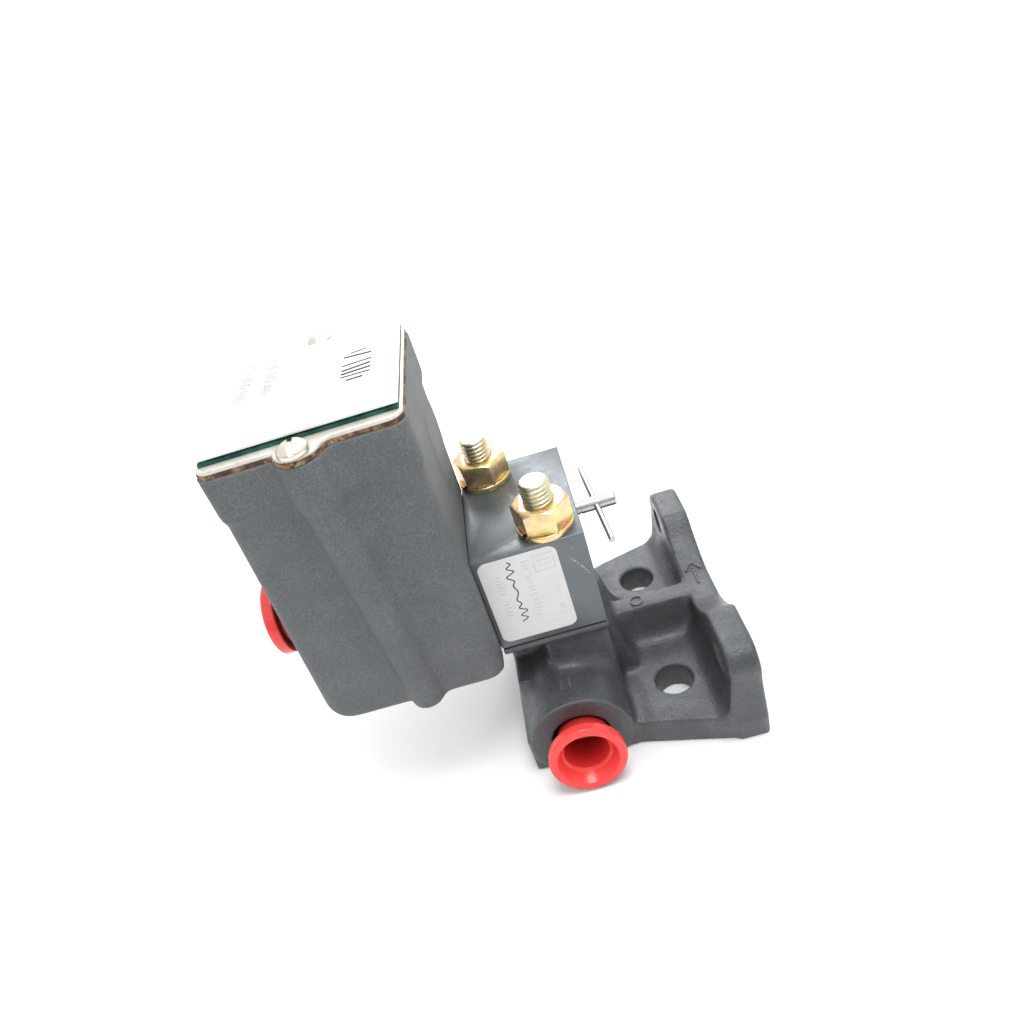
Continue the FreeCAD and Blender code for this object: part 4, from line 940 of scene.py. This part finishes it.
def hatch(mesh, start, end, across, pitch, stroke, place, seed):
    """Row of short strokes with gaps, a stand-in for a line of print.

    start and end are the row's two ends, across is its height, and place adds one stroke as a bar.
    """
    rng = np.random.default_rng(seed)
    at = start
    count = 0
    while at < end:
        if count % 7 != 5:
            tall = across * (1.0 if rng.random() < 0.75 else 0.55)
            place(mesh, at, tall, stroke * rng.uniform(0.8, 1.3), rng.uniform(-9, 9))
        at += pitch * rng.uniform(0.85, 1.2)
        count += 1


def nameplate_print():
    """Generic rows of strokes on the nameplate."""
    top = high("nameplate").z / MM
    mesh = bmesh.new()
    faint = bmesh.new()

    def stroke_at(x):
        def place(target, y, tall, wide, turn):
            bar(target, (x, y, top + 0.005), (tall, wide, 0.03), turn)
        return place
    hatch(mesh, -9.0, 18.0, 3.6, 1.45, 0.42, stroke_at(-104.6), 3)
    hatch(mesh, -9.0, 17.0, 3.6, 1.45, 0.42, stroke_at(-96.6), 4)
    hatch(mesh, -17.5, 5.0, 9.0, 2.9, 1.0, stroke_at(-68.0), 5)
    for k, (x, start, end, tall) in enumerate([(-88.6, -17.5, 1.5, 2.2), (-82.6, -19.5, 2.0, 2.2),
                                               (-107.0, -31.0, -21.0, 2.0), (-103.6, -30.5, -20.5, 2.0),
                                               (-98.8, -31.5, -20.0, 2.0), (-95.4, -31.0, -19.5, 2.0),
                                               (-75.0, -33.5, -24.0, 2.4), (-68.2, -29.5, -25.0, 2.4),
                                               (-74.4, 11.5, 16.0, 2.4), (-67.4, 11.5, 14.0, 2.4)]):
        hatch(faint, start, end, tall, 1.1, 0.34, stroke_at(x), 20 + k)
    new_piece("nameplate_print", mesh, "plate_white", "lid", 30, "print_dark")
    new_piece("nameplate_small_print", faint, "plate_white", "lid", 30, "print_faint")


def label_print():
    """Faint generic rows and a frame on the block's label, and one wavy pen line."""
    face = low("block_label").y / MM
    mesh = bmesh.new()

    def stroke_at(x):
        def place(target, z, tall, wide, turn):
            bar(target, (x, face - 0.005, z), (tall, 0.03, wide), turn, "Y")
        return place
    hatch(mesh, 58.0, 82.5, 2.2, 1.5, 0.30, stroke_at(-38.6), 41)
    hatch(mesh, 61.0, 81.0, 2.2, 1.5, 0.30, stroke_at(-48.4), 42)
    hatch(mesh, 54.0, 69.5, 1.9, 1.4, 0.28, stroke_at(-30.8), 43)
    for x, z, wide, tall in [(-32.4, 82.6, 6.6, 0.3), (-32.4, 76.2, 6.6, 0.3), (-35.7, 79.4, 0.3, 6.7),
                             (-29.1, 79.4, 0.3, 6.7), (-32.4, 80.4, 4.4, 0.3), (-32.4, 78.4, 4.4, 0.3)]:
        bar(mesh, (x, face - 0.005, z), (wide, 0.03, tall))
    new_piece("label_print", mesh, "label_grey", "base", 30, "print_faint")

    pen = bmesh.new()
    path = []
    for k in range(150):
        t = k / 149
        swing = (0.7 + 0.5 * math.sin(t * 9)) * math.sin(t * 41 + 1.5 * math.sin(t * 7))
        drift = 0.4 * math.sin(t * 17)
        path.append(Vector((-44.0 + swing + drift, face - 0.004, 83.0 - 26.0 * t)))
    for first, second in zip(path, path[1:]):
        run = second - first
        angle = math.degrees(math.atan2(run.x, run.z))
        bar(pen, (first + second) / 2, (0.42, 0.03, run.length * 1.25), angle, "Y")
    new_piece("label_pen_line", pen, "label_grey", "base", 30, "pen")


def skin_height(x, y):
    """Height of the casting's upper surface at a point, in millimetres."""
    skin = bpy.data.objects["casting_skin"]
    hit, place, _, _ = skin.ray_cast(Vector((x, y, CAST_HIGH.z + 5)) * MM, -Z_AXIS)
    if not hit:
        raise RuntimeError("no casting under a foundry mark")
    return place.z / MM


def cast_marks():
    """Raised foundry marks: an arrow on the flange, a ring on the rib and two bars on the port boss."""
    mesh = bmesh.new()
    sunk = 0.25                         # centre of a 1.4 mm tall bar below the surface
    shaft = [(20.6, 1.5 + 1.6 * k, 1.0, 1.9, 0) for k in range(6)]
    head = [(20.6 + side * (0.5 + 1.0 * k), 10.9 - 1.0 * k, 1.0, 1.6, side * 45)
            for side in (-1, 1) for k in range(3)]
    boss = [(x, -36.0 + 1.1 * k, 0.9, 1.4, 12) for x in (-39.4, -36.6) for k in range(-1, 3)]
    for x, y, wide, tall, turn in shaft + head + boss:
        bar(mesh, (x, y, skin_height(x, y) - sunk), (wide, tall, 1.4), turn)
    ring_at = Vector((-4.6, 0.0, skin_height(-4.6, 0.0)))
    lathe(mesh, [(1.9, -0.8), (1.9, 0.45), (2.7, 0.45), (2.7, -0.8)], ring_at, Z_AXIS, 40, closed=True)
    bmesh.ops.recalc_face_normals(mesh, faces=mesh.faces)
    piece = new_piece("cast_marks", mesh, "cast_iron", "base", 30)
    edge = piece.modifiers.new("edge", "BEVEL")
    edge.width = 0.22 * MM
    edge.segments = 2
    applied(piece)
    shade(piece, 60)


nameplate_print()
label_print()
cast_marks()


# ---------------------------------------------------------------- light, floor and camera
CAMERA_AT = Vector((-21.7, -226.4, 235.9)) * MM
CAMERA_TURN = (54.44, 15.35, -6.31)     # degrees, XYZ
CAMERA_LENS = 27.6
FLOOR_REACH = 60.0                      # metres from the middle to each side
SKY_BRIGHTEST = (0.05, 0.45, 0.89)      # where the white room is brightest
SKY_LEVELS = (-0.60, 0.42, 0.22, 1.12)  # from and to on that axis, and the strength at each
# name, offset from the part's middle and size in metres, power in watts
LAMPS = [("key", (0.16, -0.16, 1.0), 0.45, 5.5), ("back", (0.14, 0.83, 0.56), 0.5, 4.0)]


def floor():
    """Wide white table."""
    mesh = bmesh.new()
    bmesh.ops.create_grid(mesh, x_segments=1, y_segments=1, size=FLOOR_REACH)
    data = bpy.data.meshes.new("floor")
    mesh.to_mesh(data)
    mesh.free()
    table = bpy.data.objects.new("floor", data)
    bpy.context.scene.collection.objects.link(table)
    paper = Shader("paper")
    paper.finish(Base_Color=(0.95, 0.955, 0.96), Roughness=0.9, Normal=paper.bump(paper.noise(2.0, 3), 0.01))
    dress(table, paper.material)


def surroundings():
    """White room: bright above and behind the part, darker on the viewer's side."""
    world = bpy.data.worlds.new("studio")
    world.use_nodes = True
    tree = world.node_tree
    sky = tree.nodes["Background"]
    sky.inputs["Color"].default_value = (1, 1, 1, 1)
    place = tree.nodes.new("ShaderNodeTexCoord")
    dot = tree.nodes.new("ShaderNodeVectorMath")
    dot.operation = "DOT_PRODUCT"
    dot.inputs[1].default_value = SKY_BRIGHTEST
    tree.links.new(place.outputs["Generated"], dot.inputs[0])
    level = tree.nodes.new("ShaderNodeMapRange")
    level.interpolation_type = "SMOOTHSTEP"
    for k, number in enumerate(SKY_LEVELS):
        level.inputs[k + 1].default_value = number
    tree.links.new(dot.outputs["Value"], level.inputs[0])
    tree.links.new(level.outputs[0], sky.inputs["Strength"])
    bpy.context.scene.world = world


def lamps():
    """Soft lamp over the part and another behind it."""
    centre = (Vector(cad_box[0]) + Vector(cad_box[1])) / 2
    for name, offset, size, power in LAMPS:
        lamp = bpy.data.lights.new(name, "AREA")
        lamp.size = size
        lamp.energy = power
        holder = bpy.data.objects.new(name, lamp)
        holder.location = centre + Vector(offset)
        holder.rotation_euler = (-Vector(offset)).to_track_quat("-Z", "Y").to_euler()
        bpy.context.scene.collection.objects.link(holder)


def camera():
    """Viewpoint in front and above, rolled clockwise."""
    data = bpy.data.cameras.new("camera")
    data.lens = CAMERA_LENS
    data.sensor_width = 36.0
    data.clip_start = 0.01
    holder = bpy.data.objects.new("camera", data)
    holder.location = CAMERA_AT
    holder.rotation_euler = [math.radians(a) for a in CAMERA_TURN]
    bpy.context.scene.collection.objects.link(holder)
    bpy.context.scene.camera = holder


floor()
surroundings()
lamps()
camera()
bpy.context.scene.view_settings.view_transform = "Standard"
